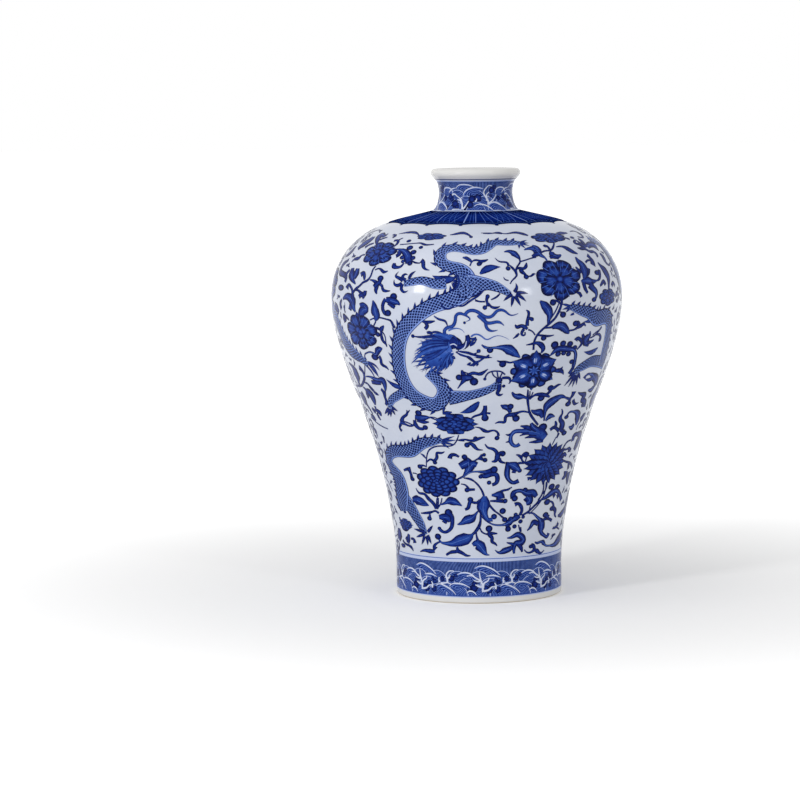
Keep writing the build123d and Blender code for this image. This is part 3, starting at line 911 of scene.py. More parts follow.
     (566, 398, 0.6)),
    ((566, 398, 0.6), (569.6, 398.6, 1), (572.6, 395, 1.2), (574, 391.4, 1.7)),
    ((570, 399, 0.9), (568.4, 403, 1.2)), ((573, 399.6, 1.1), (574.4, 403.6, 1.2), (578.6, 402.6, 0.3)),
    ((578, 392.4, 0.4), (581.6, 394, 1.3), (584, 396, 1.7), (582, 399, 1.2), (584.6, 402, 1.4),
     (583.4, 407, 1.3)),
    ((581, 406, 1.1), (584, 403, 0.9)), ((598, 386, 1.2), (596, 392, 2.2), (593, 399, 2.6), (591, 406, 1.4)),
    ((566.6, 416, 0.7), (569, 412.6, 0.8), (573, 411.6, 0.9), (576, 412, 1.6), (577.6, 416, 2.3),
     (577, 421, 1.4), (576, 425, 0.5)),
    ((528, 390, 0.5), (528, 398, 0.7), (528.6, 408, 0.8), (530, 414, 0.8), (534, 420, 0.8), (538, 425, 0.8)),
    ((530, 391, 0.4), (529.6, 399, 0.5)),
    ((500.6, 405, 0.4), (504, 406.6, 2), (508, 408, 2.2), (510, 412.6, 1.2)),
    ((495, 423.6, 0.3), (499.6, 422, 0.9), (504.6, 422, 1), (505.6, 417, 1.2), (510, 414.8, 1.6),
     (514, 414.4, 1.8), (518, 412.6, 1), (523, 411.4, 0.8), (529, 412.6, 0.6)),
    ((513, 414, 1), (515, 418, 2)), ((531, 410, 0.5), (535, 412, 2), (539.6, 412.6, 2.9), (542, 418, 0.8)),
    ((545.6, 421, 0.6), (549.6, 416.4, 2.5), (554.6, 416.6, 0.4)),
    ((545, 438, 3), (540, 434, 4.4), (534, 432, 4), (528, 431, 2.6), (521, 431, 1.6), (514, 432, 1.6),
     (511, 436, 1.3), (510.6, 441, 1.5), (513, 445, 1.3), (516, 446, 1.2), (519.6, 444, 1.5)),
    ((543, 441, 1), (536, 441.6, 1.4), (529, 442.4, 0.4)),
    ((536, 436.6, 1.2), (530, 436.6, 1.2), (524.6, 438, 0.4)),
    ((529, 433.6, 1), (524, 434, 1), (519.6, 436, 0.3)),
    ((532, 429, 1.8), (526, 427, 1.6), (520.4, 426, 0.5)), ((531, 423, 1), (533, 427, 2.2), (537, 429.6, 2)),
    ((512, 433.6, 1.2), (509, 435, 1), (505.6, 434.4, 0.3)), ((510.6, 441, 1.2), (505.6, 442.4, 0.3)),
    ((550, 430, 1.3), (553.6, 427.4, 1.4), (557, 429, 1.2), (559, 431, 1.5)),
    ((555, 421, 0.5), (555.8, 425, 1.2), (554, 429, 0.9)),
    ((561.4, 409, 0.3), (562.4, 413, 0.6), (560, 418, 1.2), (562.6, 424, 1.5), (560.4, 431, 1.8)),
    ((560, 430, 1), (564, 432, 1.8)), ((559, 433, 0.7), (556.4, 438, 0.6)),
    ((568.6, 426.4, 0.4), (572, 427, 2.4), (574, 424, 0.9)),
    ((572.6, 441, 1), (573.6, 436.6, 1.5), (577, 434, 1.6), (579.6, 437, 1.9), (577, 443, 1.9),
     (574, 450, 1)),
    ((571, 440, 0.6), (567, 442, 0.6), (563, 448, 0.6), (560, 453, 0.6)),
    ((516, 454.6, 0.4), (519.6, 456, 1.1), (521, 458.6, 0.7)),
    ((526, 453, 1.2), (522.6, 455, 0.9), (521.6, 459, 0.7), (525, 463, 0.7), (529, 465.6, 0.6)),
    ((509, 462, 2.2), (507.6, 468, 2), (507, 474, 2.1), (509, 480, 1.4), (513, 482.6, 1.4),
     (518.6, 480.6, 1.7)),
    ((509, 464, 1.6), (514, 466, 3.4), (519, 470, 1.6)), ((512, 471, 1.4), (516, 472, 1)),
    ((516, 464, 1), (521, 463, 0.9), (524, 463.4, 0.5)), ((500, 458, 0.7), (501, 461, 0.7), (505, 463, 0.7)),
    ((534, 478, 0.6), (530, 478, 0.9), (527.4, 479, 1.5)),
    ((543.4, 481, 0.4), (543.4, 488, 0.5), (541, 496, 0.6), (538, 500, 0.7)),
    ((547, 481, 0.4), (546, 488, 0.5), (542.6, 494, 0.5)),
    ((407, 410, 0.4), (407, 414, 0.9), (403.5, 417, 1), (402, 421, 1.6)),
    ((400, 422, 1.8), (405, 424, 1), (410, 426, 0.7), (415, 424, 0.9)),
    ((401, 424, 1), (400, 428, 0.7), (402, 431, 1)),
    ((415, 416.6, 1.7), (421, 418, 2.8), (427, 417.4, 1.5), (430.6, 417.6, 0.4)),
    ((417, 420.6, 0.8), (424, 422, 1.5), (429, 422, 0.5)),
    ((414.6, 420, 1), (416, 425, 1.6), (420, 428.6, 1.2), (424, 428.6, 1.1)),
    ((430, 417, 0.4), (436, 418, 0.4), (440, 421, 0.4)), ((442.5, 413, 1), (447, 413, 1.7), (452, 412, 0.4)),
    ((470, 420, 0.4), (474, 416.5, 0.8), (480, 414.5, 0.9), (484, 412, 1.8), (485, 405.5, 1.3)),
    ((484, 413, 1.4), (485, 417, 2)), ((486, 413, 0.8), (490.5, 413.4, 0.8)),
    ((475, 427, 0.3), (480, 428, 0.7), (484, 430.5, 1.4), (488, 431.5, 1), (493, 430.4, 0.7),
     (497.6, 432.6, 0.8), (498.5, 436, 1)),
    ((459, 440, 0.5), (465, 439.5, 0.7), (470, 440.5, 0.9), (474, 440.4, 1.2), (479, 438.5, 1.2),
     (485, 437, 0.4)),
    ((467, 444.6, 1.4), (470, 443.5, 1.2), (474, 446, 1.5), (477, 449, 1), (483, 450, 0.3)),
    ((485, 444, 0.4), (488, 447.6, 0.8), (493, 449, 1.2), (496.4, 452, 1.3), (497.4, 457, 2),
     (495, 461, 1.3), (491.6, 461.5, 0.5)),
    ((498, 455, 0.9), (501, 452.6, 1.3), (503, 453.6, 1.4)),
    ((420.6, 453.6, 0.3), (423.6, 455.6, 0.9), (426, 458.6, 0.4)),
    ((427, 462, 0.5), (431, 459.4, 0.8), (434, 461, 1)),
    ((434, 461, 1), (437, 456.6, 1.2), (437, 453, 0.9), (441, 453, 0.9), (444.6, 451.5, 0.3)),
    ((419.6, 466.5, 1.3), (423, 465.4, 0.7), (427, 467, 0.5)),
    ((449.8, 458.6, 1.7), (450.8, 455.6, 1.4), (454, 454.6, 1.3), (459, 457, 0.8)),
    ((460, 466.6, 2.6), (465, 464, 3.2), (469, 462, 2.6)),
    ((464.6, 457.6, 1.4), (468, 462, 3), (469, 468, 3.4), (466, 473, 1.6), (463, 477.4, 0.6)),
    ((477, 465, 2), (473, 464, 2.8), (470, 468, 3)), ((474, 461, 0.6), (479, 458, 0.7), (482.4, 454.8, 1.2)),
    ((455, 480, 0.4), (460, 478.4, 0.5), (465, 475.6, 0.6), (470, 472.6, 0.6), (477, 471.6, 0.7),
     (486, 472, 1.6), (493, 470.4, 2.4)),
    ((480, 475.6, 1.4), (486, 476, 1.8), (491, 474.4, 1.8), (496, 474.6, 1.7), (497.4, 479, 1.7),
     (496, 483, 1.4), (492, 484.8, 1.2)),
    ((464, 478, 0.4), (470, 478.5, 0.5), (476, 483, 0.6), (481, 489, 0.7), (484, 496, 0.8)),
    ((404, 470.4, 0.8), (409, 470, 1.4), (411, 474, 1), (412, 478.6, 1.2)),
    ((408.6, 467, 1.4), (410, 471, 1)), ((413, 473, 0.5), (417, 474, 0.4), (420, 477, 0.4)),
    ((461, 484, 0.4), (465, 484.8, 0.6), (468.6, 488.6, 0.9)),
    ((467, 490, 1.4), (471, 489.6, 1), (475, 489.5, 0.9)),
    ((416, 488, 0.3), (419.6, 493, 0.9), (424.6, 494, 1), (428, 498, 1.4), (431, 500.8, 1.3),
     (434, 504, 1.3), (436, 509, 0.8)),
    ((412.6, 499.6, 1.6), (417, 500, 3.8), (422, 503, 2.2), (429, 505.4, 0.4)),
    ((441, 504.6, 0.5), (446, 502.6, 1.2), (450, 501, 3.2), (455, 502, 2.8), (459, 504, 1.3),
     (462, 506, 0.3)),
    ((437.6, 497, 0.4), (438.4, 504, 0.5), (436.6, 509, 0.7)),
    ((442, 498, 0.4), (440.6, 504, 0.5), (437, 508.6, 0.6)),
    ((421, 513, 0.5), (427, 513.4, 0.6), (431, 512.6, 0.7), (435.6, 511, 0.8), (439, 513.4, 0.9)),
    ((430, 513, 0.4), (430, 517.6, 1.1)), ((439, 517, 1.5), (443, 517, 2.6), (448, 518, 3), (451, 521, 2)),
    ((448.6, 513, 2), (451.6, 516, 1.6), (452.4, 521, 1.5), (452, 526, 1.4), (449, 530.4, 1.2),
     (444, 532, 1.1), (440, 529.6, 1.3)),
    ((443, 520, 1.5), (447, 523, 1.1)),
    ((457.4, 524.6, 0.4), (462, 523, 1.6), (467, 520, 3.3), (472, 518, 3.2), (475, 515, 1.2),
     (478, 511, 0.5)),
    ((465, 509.6, 0.9), (468, 508, 1.3), (469.4, 503.6, 1.3), (471, 500.6, 1.5)),
    ((472, 502, 1), (477, 502.6, 1), (480, 500, 1)),
    ((484.6, 496, 1.4), (484, 502, 4.4), (483, 508, 4.4), (485, 515, 2), (488, 519.4, 1.4),
     (492.6, 519.4, 1.5)),
    ((480.6, 510, 0.5), (480.6, 519, 0.8), (479.6, 526, 0.9), (476.6, 530.6, 1), (473, 534, 1),
     (470, 537, 1)),
    ((480, 528, 0.5), (482, 532, 0.6), (486, 534, 0.6)),
    ((439, 539, 0.7), (441, 542, 0.7), (446, 543.4, 1.3), (452, 543.4, 2.4), (459, 541, 4.2),
     (466, 538.6, 4.4), (471, 536, 2), (473, 533.6, 0.5)),
    ((440.6, 541.6, 0.6), (436.4, 543.6, 0.8), (434.4, 547, 1.2), (436, 549.4, 2)),
    ((420.4, 551.6, 0.4), (424, 550.4, 1), (430, 551, 1.7), (435, 551, 1.3)),
    ((457, 547, 0.8), (457.6, 550.6, 1.3), (452, 552, 1.3), (446.6, 555.6, 0.4)),
    ((458, 551, 1.6), (463, 553.4, 1.2), (467, 555.6, 0.9), (470.6, 555.6, 0.4)),
    ((472.6, 545, 1.3), (477, 543.4, 2.8), (480, 546, 4), (483, 550, 2.8), (487, 554.6, 0.8),
     (489.6, 555, 0.3)),
    ((476, 531, 0.6), (476.6, 536, 0.6), (478, 541, 1.2)),
    ((402, 523.4, 0.4), (403, 526, 2), (406, 527, 3), (409.4, 524, 1.4), (409.8, 521, 0.3)),
    ((399.6, 517, 0.5), (401, 522, 0.6)), ((399, 528, 0.8), (399.6, 534, 1.8), (399, 539, 1.1)),
    ((409, 534, 0.8), (408.6, 539, 1.4), (408, 543, 1.1)), ((406, 537, 0.9), (408, 541, 0.9)),
    ((411, 538.6, 0.8), (414, 539.6, 1), (415, 543, 1.3)),
    ((403, 540, 0.7), (405, 543, 0.8), (409, 545.4, 0.9), (411.6, 547.4, 1), (413.6, 551, 0.3)),
    ((491.6, 495, 0.8), (495, 495, 1.6), (499, 495, 3.2), (500.6, 499, 3)),
    ((490, 501, 0.6), (496, 501, 1), (503, 501, 1.5)),
    ((500, 493, 1.6), (503, 490.6, 0.9), (508, 489.6, 0.8), (511.6, 487, 0.3)),
    ((513.4, 498, 2.2), (513.4, 493, 1.9), (517, 491, 1.5), (522, 491, 1.5), (527, 493, 2.8),
     (533, 493, 2.8), (536.4, 496.6, 1.5)),
    ((527, 496, 3.4), (529, 501.6, 2.6), (526, 503.6, 1.4)),
    ((514.6, 504.6, 1.6), (518, 503.6, 1.2), (521, 506.6, 1.3), (521.6, 511, 1.1), (519.6, 515, 1.1)),
    ((541, 500, 0.8), (535, 505, 0.8), (530, 510, 0.8), (526, 513, 0.8), (521.6, 515.6, 0.8)),
    ((488, 502, 0.5), (491, 507, 0.8), (494, 510.6, 0.6), (499, 514, 0.6), (503, 517.6, 0.7),
     (507, 519, 0.9)),
    ((487, 520, 0.5), (491, 523.6, 0.6), (496, 525, 0.7), (502, 525, 0.8), (506, 524, 1.4),
     (509, 522.4, 2.6), (512, 520, 2), (516, 518, 2.2), (520, 516, 1.3)),
    ((507, 524, 1.4), (508, 528, 1.6)),
    ((482, 532, 0.4), (486, 534, 0.6), (490, 533.6, 1.4), (494.6, 533.4, 0.9), (497.4, 533.6, 0.4)),
    ((489, 531, 1), (489.6, 535, 1.5), (492, 538, 1.3), (492, 541.6, 1.2), (495, 543.6, 0.9),
     (497, 546, 0.3)),
    ((507, 538, 0.4), (512, 537, 1.3), (517, 534.6, 2), (521, 536, 2.2), (523, 540, 2), (520, 543, 2.6),
     (516, 543, 1.9), (514, 547, 1.5), (514, 553.6, 0.7)),
    ((506.6, 542.6, 0.4), (511, 543.6, 1), (515, 545, 1.5)),
    ((518, 544, 1.6), (521, 548, 1.4), (522, 552, 0.6)), ((520.6, 527, 0.5), (521, 532, 0.5)),
    ((495, 550, 0.3), (499, 552.6, 1), (504, 551, 2.3), (509, 549, 2.1), (513, 546, 1.1)),
    ((524, 549.6, 0.4), (527, 552.4, 0.6), (531, 552, 0.8), (534, 549, 1.2), (533.4, 546, 1.4),
     (531, 545, 1.3)),
    ((534, 550, 1), (537, 551, 1.7), (540, 553, 0.9), (544, 550, 0.3)),
    ((534.6, 542, 0.5), (537, 543, 1), (541, 541.6, 1), (543, 542.4, 1.7), (545, 545, 0.8),
     (549, 545.6, 0.7), (553, 545, 1.5), (557, 541, 2.5), (560, 536, 2.5), (562, 530, 1)),
    ((528, 513, 0.6), (533, 513.4, 0.7), (536, 516, 0.9), (539, 519, 1.2), (541, 523, 2.7), (541, 528, 2.6),
     (541, 532, 1.4), (543.6, 535, 1.2), (547, 536.6, 1.2), (548.4, 533, 1.1)),
    ((538, 524, 1.6), (533, 522.6, 2.2), (531, 526, 1.3), (527, 530.6, 0.4)),
    ((541, 520.6, 1), (548, 518.6, 1.1), (551.6, 520.6, 1.1)), ((545.6, 515, 1.4), (548.6, 517.6, 1.5)),
    ((549.6, 501, 0.5), (553, 504, 0.8), (553.6, 508, 1), (555, 511, 1.2), (554.6, 514, 0.8),
     (556, 517, 0.3)),
    ((557.6, 515.6, 0.8), (561, 514, 2.3), (564, 509, 1.5), (565.6, 504.6, 0.5)),
    ((552.6, 528, 0.9), (556, 526.6, 1), (558, 523, 1.3)), ((556, 527, 0.6), (559, 529, 0.5)),
    ((541, 499.6, 0.8), (546, 497, 1.6), (551, 493, 2.4), (556, 490.6, 1.8), (559.6, 494, 1),
     (561, 500, 1.1)),
    ((554.6, 496.6, 1.3), (553, 493, 1)), ((558, 498, 0.9), (557, 494, 0.8)),
    ((368, 234, 0.8), (374, 231.4, 0.8), (380, 229.6, 0.4)), ((358, 313, 1.4), (357, 318, 1.6)),
    ((360, 306, 1.8), (364, 305.6, 2), (366.4, 309, 1.8), (363, 310.4, 3), (362, 314, 2.8),
     (363, 317.2, 1.1)),
    ((342, 299.6, 0.5), (340.6, 304, 0.8), (341.6, 309, 0.8)),
    ((477, 264.6, 1), (479.6, 263.8, 1.6), (482, 261.6, 0.8)),
    ((604, 375, 0.8), (600.6, 380, 1.6), (598, 386, 1.2)),
    ((562, 460, 0.6), (567, 462, 0.8), (570, 463, 0.8), (572, 468, 0.8)),
    ((568.6, 463, 0.7), (568, 469, 0.8)), ((566, 471, 1.6), (564.4, 476, 1.4), (561.6, 479, 0.5)),
    ((568.6, 472, 1.6), (567.6, 478, 1.2), (567, 484, 0.5)),
    ((561, 457, 1.2), (564, 454, 1.6), (566, 456, 0.8)),
    ((562, 449, 0.5), (566, 449.4, 0.8), (569.6, 448.4, 0.9), (569, 452, 1.2)),
    ((580, 420, 1.4), (583, 416.2, 1.7), (585.6, 413, 0.5)), ((478, 458.6, 0.8), (483, 459, 1.4)),
)

# Round ends and berries of the scroll: place and radius
BALLS = (
    (487.6, 296.4, 1.5), (484.8, 307.6, 1.6), (508, 268.4, 1.7), (521.4, 270.8, 1.6), (526.2, 276.8, 1.8),
    (410, 247.8, 2.2), (413.6, 252.2, 2.1), (413, 258, 1.8), (410, 263.4, 1.8), (402.4, 257.4, 1.8),
    (403, 261.4, 1.4), (409, 241, 1.6), (421, 247.4, 1.5), (380.6, 278.4, 2.2), (341, 287.6, 2.2),
    (393.6, 296.6, 2.5), (388, 313, 2.3), (378, 334.4, 1.8), (375, 357, 2.5), (471, 237, 1.3),
    (479, 264, 1.7), (459, 377.4, 2.3), (474, 381.6, 3), (490, 350, 2.3), (502.6, 364, 2.5), (545, 246, 1.4),
    (597, 272.6, 1.9), (572, 237.6, 1.4), (594, 299.6, 1.7), (553, 302.4, 2.3), (563, 314.6, 2.2),
    (575.6, 323.4, 2.1), (543.6, 338, 2), (554.6, 344.8, 2.7), (563, 343.4, 2.2), (570, 344, 2.2),
    (574.6, 347.6, 1.8), (558, 354, 2), (563.6, 353, 1.8), (568.4, 354, 1.8), (571.6, 361.6, 1.8),
    (550.6, 388, 2.3), (541, 398, 2.5), (568, 403.8, 2.1), (566.4, 417, 1.6), (510.4, 406.6, 2.3),
    (516, 418.4, 2.6), (542.6, 427.4, 3.2), (564, 433, 1.9), (526, 454.6, 2.3), (519.6, 470.6, 1.6),
    (569.6, 449.6, 1.3), (418.5, 413, 2.3), (425.4, 427.4, 1.9), (485, 418, 2.6), (497, 438, 1.8),
    (475.5, 438.5, 1.7), (467, 445, 2), (502.6, 453.6, 2.2), (435, 462.4, 1.6), (420, 466.6, 1.8),
    (464.5, 457, 2.1), (485, 460, 1.8), (484, 454.8, 1.4), (494, 469.6, 2.7), (489, 482.6, 1.6),
    (480.6, 476.6, 1.6), (412.6, 479, 1.6), (467, 490, 1.8), (429.6, 518.4, 1.7), (448.6, 512.6, 2.8),
    (439.6, 528.4, 1.4), (470.4, 499.6, 2.1), (438, 536.6, 2.3), (403.4, 545.4, 1.6), (405, 512, 1),
    (494, 516.6, 2.1), (502.6, 511, 2.3), (504.6, 519.6, 1.9), (510.6, 519, 1.9), (508, 529, 2.1),
    (514.4, 526.4, 1.6), (515.6, 514.6, 1.5), (520.4, 521.4, 1.6), (523, 517, 1.3), (489, 528.6, 2.5),
    (525, 490, 1.9), (514.6, 498.4, 2.3), (530.6, 546.4, 1.5), (545.4, 514.8, 2.1), (552, 508.4, 1.9),
    (547, 502, 2.3), (551.6, 486.6, 2.3), (557.4, 486.6, 1.8), (505, 501, 1.8),
)

# One repeat of the waves round the foot, and then of those round the neck: crests from back to front, foam,
# and groups of dark hollows, each a place and a radius
FOOT_REPEATS = 8
FOOT_CRESTS = (
    ((474.6, 568.4), (478, 566.6), (482.3, 565.9), (489.4, 567.7), (495, 570.6), (500, 574.9)),
    ((485.9, 576.5), (490.9, 575.4), (495.9, 575.7), (500.9, 577.4)),
    ((521, 573), (525, 570.6), (530, 570), (534, 572), (537, 576)),
    ((513.7, 585.5), (516.6, 582.7), (520.9, 581.6), (526.6, 582), (531.6, 584.4)),
    ((500, 586.4), (503, 584.5), (508.7, 585.2), (513.7, 587.4), (518, 590.6), (520, 593)),
    ((529, 590), (531, 588), (534.4, 588.2), (536.6, 591)),
)
FOOT_FOAM = (
    ((483, 592), (482.6, 587), (481.4, 582), (478.6, 579.4), (475, 577.4), (471, 575.6), (467.4, 576)),
    ((483.2, 588), (484.4, 583), (488, 580.6), (489, 578.4)), ((481.6, 587), (479, 586.6), (476, 585)),
    ((480.4, 581), (477, 581.4), (474.6, 580.6)), ((482, 584), (480, 577), (479.4, 573)),
    ((484, 591), (489, 589.6), (492, 587), (494.6, 586.4)), ((495.4, 589), (496, 586), (495, 583.4)),
    ((505, 583.4), (508, 583), (511.6, 582), (515, 583)), ((504, 582.6), (503, 580), (503.4, 578)),
    ((512, 582), (511.6, 578.4), (510.6, 575.4), (512, 572), (514.6, 570), (517.6, 569.8)),
    ((511.6, 578), (513.6, 576.6), (514.4, 574.8)),
)
FOOT_HOLLOWS = (
    ((489, 590, 3.6), (486, 588, 2.6), (492, 584.6, 3)), ((474, 588, 4), (477, 582, 2), (474.4, 584, 2.6)),
    ((507, 578.6, 2.6), (516, 577.4, 3), (519.6, 574, 2)),
    ((498, 590, 3), (498.6, 582.4, 2.4), (496, 579.6, 1.8)),
)

NECK_REPEATS = 4
NECK_CRESTS = (
    ((449, 193), (452, 189), (456, 188)),
    ((456, 188.4), (458.7, 185.3), (463.3, 184.5), (468.7, 185), (474, 187)),
    ((495, 193.4), (496.4, 188.6), (500.4, 187), (504, 189), (505, 193)),
    ((463, 196), (464.7, 192), (469.3, 188.7), (475.3, 187.3), (483, 188.6)),
    ((488, 205.8), (490.7, 203), (494.7, 202.3), (500, 204.7), (504.7, 208), (507.3, 210.7)),
    ((474, 206.4), (476.6, 204.8), (481.3, 204.3), (487.3, 206), (492, 209.3), (495.3, 211.3)),
)
NECK_FOAM = (
    ((462, 209.4), (462.3, 204.7), (460.7, 199.3), (457.6, 196.4)),
    ((461.6, 203), (459.6, 200), (458, 199.6)), ((462.6, 209.6), (466, 205.3), (468.3, 201.6)),
    ((452.3, 194.7), (455.3, 194.2), (457, 196)),
    ((488, 204.7), (488, 201), (485.6, 197), (483.7, 192), (486, 188), (488.7, 185.5), (491.2, 185.6)),
    ((487, 201), (486.4, 197), (486.6, 194.4), (488.3, 192.5)),
    ((488, 203.6), (491, 201.6), (493.3, 199.3), (495.7, 194.8)), ((452, 210), (457, 209.4), (461, 210)),
    ((475, 201.6), (476.2, 200.6), (476.6, 199)),
)
NECK_HOLLOWS = (
    ((455, 204, 4.4), (452, 199, 3), (457, 207, 2.6)), ((472, 199, 4), (470, 205, 4), (478, 198, 4.2)),
    ((491.5, 190, 3.4), (494, 187, 2.4), (490.6, 196, 1.8)), ((503, 196, 3), (498, 198, 2.6)),
)


# Swells of a wave band: their reach as a share of its height, their pitch as a share of their reach, where
# their rows stand in the band, and what each row adds to the lift in mm and takes from the ink
SWELL_SHARE = 0.33
SWELL_PITCH = 1.7
SWELL_ROWS = (0.40, 0.20, 0.0)
SWELL_RISE = 0.01
SWELL_FADE = 0.06
# Crests: how far below its ends the lines of one meet in mm, their ink, and how its white line swells
CREST_FOCUS = 1.2
CREST_INK = 0.9
CREST_SHAPE = (0.3, 1.0, 1.0, 0.3)
# A ring has this many flats, and a row for each of these millimetres
RING_FLATS = 256
RING_ROW = 1.5


def crest(fans, foam, route, half):
    """A wave: its crest is a white line, and the water below it is fine lines that follow the crest.

    The water's points lie between the crest and a focus below its middle, in even shares.
    """
    places = np.linspace(0, 1, 18)
    angle, along, _, _ = carried(route, (1.0,), places, np.zeros((1, 1)))
    line = np.column_stack((angle[:, 0], along[:, 0]))
    focus = line[[0, -1]].mean(axis=0) - (0, CREST_FOCUS)
    share = np.linspace(0, 1, 7)[None, :]
    fan_angle = focus[0] + (line[:, :1] - focus[0]) * share
    fan_along = focus[1] + (line[:, 1:] - focus[1]) * share
    depth = route_length(np.array((focus, line[len(line) // 2])))
    fans.lay(fan_angle, fan_along, share * depth, share + 0 * fan_angle, depth, CREST_INK)
    stroke(foam, route, [part * half for part in CREST_SHAPE], 0.0, step=0.8)


def swells(fans, low, high, repeats):
    """Rows of round swells across one repeat of a band, each row before the last and half a swell on.

    A swell is a half disc: its points lie in even shares from its middle to its round edge.
    """
    tall = high - low
    reach = SWELL_SHARE * tall
    girth = 2 * math.pi * outline.radius_at((low + high) / 2)
    count = int(round(girth / repeats / (SWELL_PITCH * reach)))
    pitch = 2 * math.pi / repeats / count
    turn, share = np.meshgrid(np.linspace(0, math.pi, 19), np.linspace(0, 1, 8), indexing="ij")
    for row, base in enumerate(SWELL_ROWS):
        for number in range(count):
            middle = (number + 0.5 * (row % 2)) * pitch
            angle = middle + share * reach * np.cos(turn) / outline.radius_at(low + base * tall)
            along = low + base * tall + share * reach * np.sin(turn)
            fans.lay(angle, along, share * reach + 0.3, share, reach, 1.0 - SWELL_FADE * row)
        fans.level += SWELL_RISE


def ring(work, low, high, ink):
    """A plain band right round the vase between two distances along the outline."""
    angle = np.linspace(0, 2 * math.pi, RING_FLATS + 1)[:, None]
    rows = max(2, int((high - low) / RING_ROW) + 1)
    across = np.linspace(-1, 1, rows)[None, :]
    along = low + (high - low) * (across + 1) / 2
    angle, along = np.broadcast_arrays(angle, along)
    half = (high - low) / 2
    work.lay(angle, along, angle * outline.radius_at(along), across, half, ink)


# Finishes


# Heights in metres: where the painting's glaze gives way to plain glaze, and below which the foot is bare
PLAIN_FOOT = (0.0045, 0.0060)
PLAIN_LIP = (0.3355, 0.3375)
BARE_FOOT = 0.0009
GLAZE_GLOSS = 0.18
INK_GLOSS = 0.08
GLAZE_IOR = 1.5
# Scales, and the fine lines of water, in mm
SCALE_LENGTH = 3.4
SCALE_WIDTH = 2.7
RIPPLE_PITCH = 1.2


def from_srgb(red, green, blue):
    """The linear colour of a display colour given in parts of 255."""
    share = np.array((red, green, blue)) / 255
    linear = np.where(share <= 0.04045, share / 12.92, ((share + 0.055) / 1.055) ** 2.4)
    return tuple(float(value) for value in linear)


class Wire:
    """A socket of a material. Arithmetic on it adds Math nodes, so shader maths reads as Python."""

    def __init__(self, nodes, socket):
        self.nodes = nodes
        self.socket = socket

    def math(self, operation, *others):
        return self.nodes.add("ShaderNodeMath", {"operation": operation}, (self, *others))

    def __add__(self, other):
        return self.math("ADD", other)

    def __sub__(self, other):
        return self.math("SUBTRACT", other)

    def __mul__(self, other):
        return self.math("MULTIPLY", other)

    def __truediv__(self, other):
        return self.math("DIVIDE", other)

    def __rsub__(self, other):
        return self.nodes.add("ShaderNodeMath", {"operation": "SUBTRACT"}, (other, self))

    __radd__ = __add__
    __rmul__ = __mul__

    def size(self):
        return self.math("ABSOLUTE")

    def less(self, other):
        return self.math("LESS_THAN", other)

    def ease(self, low, high):
        """0 below low, 1 above high, and smooth between."""
        settings = {"interpolation_type": "SMOOTHSTEP"}
        return self.nodes.add("ShaderNodeMapRange", settings, {"Value": self, 1: low, 2: high})


class Nodes:
    """The nodes of a material or of the world, with one method that adds any node."""

    def __init__(self, owner):
        owner.use_nodes = True
        self.tree = owner.node_tree

    def add(self, kind, settings=None, inputs=(), output=0):
        """A node of this type: its settings are set first, then its sockets get values or links."""
        node = self.tree.nodes.new(kind)
        for key, value in (settings or {}).items():
            if key == "stops":
                for place, colour in value[1:-1]:
                    node.color_ramp.elements.new(place)
                for element, (place, colour) in zip(node.color_ramp.elements, value):
                    element.position, element.color = place, (*colour, 1)
            else:
                setattr(node, key, value)
        pairs = inputs.items() if isinstance(inputs, dict) else enumerate(inputs)
        for key, value in pairs:
            self.feed(node.inputs[key], value)
        return Wire(self, node.outputs[output])

    def feed(self, socket, value):
        """A wire is linked, a colour gets its alpha, and any other value is set."""
        if isinstance(value, Wire):
            self.tree.links.new(value.socket, socket)
        elif socket.type == "RGBA":
            socket.default_value = (*value[:3], 1)
        else:
            socket.default_value = value

    def blend(self, share, low, high):
        """The colour low where share is 0 and high where it is 1."""
        return self.add("ShaderNodeMix", {"data_type": "RGBA"}, {0: share, 6: low, 7: high}, output=2)

    def noise(self, scale):
        """Cloudy noise from 0 to 1 in the vase's own space; scale counts patches per metre."""
        place = self.add("ShaderNodeTexCoord", output=3)
        return self.add("ShaderNodeTexNoise", inputs={"Vector": place, "Scale": scale, "Detail": 2.0})


class Finish(Nodes):
    """A material in the making."""

    def __init__(self, name):
        self.material = bpy.data.materials.new(name)
        super().__init__(self.material)

    def surface(self, **inputs):
        """Feeds the Principled shader; an underscore in a name stands for a space."""
        for key, value in inputs.items():
            self.feed(self.tree.nodes["Principled BSDF"].inputs[key.replace("_", " ")], value)
        return self.material


def glaze_finish(name, colours, bare_foot=False):
    """Clear glaze on white porcelain, bluish where it lies over the painting, and on the foot a bare ring."""
    finish = Finish(name)
    cloud = finish.noise(22.0)
    speck = finish.noise(900.0)
    place = finish.add("ShaderNodeTexCoord", output=3)
    height = finish.add("ShaderNodeSeparateXYZ", inputs=(place,), output=2)
    tint = finish.blend(cloud.ease(0.35, 0.7), colours.glaze, colours.glaze_pool)
    tint = finish.blend(speck.ease(0.68, 0.8) * 0.12, tint, colours.glaze_pool)
    plain = height.ease(*PLAIN_LIP) + (1 - height.ease(*PLAIN_FOOT))
    tint = finish.blend(plain, tint, colours.plain_glaze)
    rough = 0.10 + cloud * 0.05
    if bare_foot:
        bare = height.less(BARE_FOOT)
        tint = finish.blend(bare, tint, colours.biscuit)
        rough = rough + bare * 0.6
    return finish.surface(Base_Color=tint, Roughness=rough, IOR=GLAZE_IOR, Specular_IOR_Level=GLAZE_GLOSS)


def brush_marks(finish):
    """What the brush did at a point: distance along its stroke, place across it, half width and ink."""
    flow = finish.add("ShaderNodeAttribute", {"attribute_name": "flow"}, output=1)
    parts = [finish.add("ShaderNodeSeparateXYZ", inputs=(flow,), output=part) for part in range(3)]
    return *parts, finish.add("ShaderNodeAttribute", {"attribute_name": "ink"}, output=2)


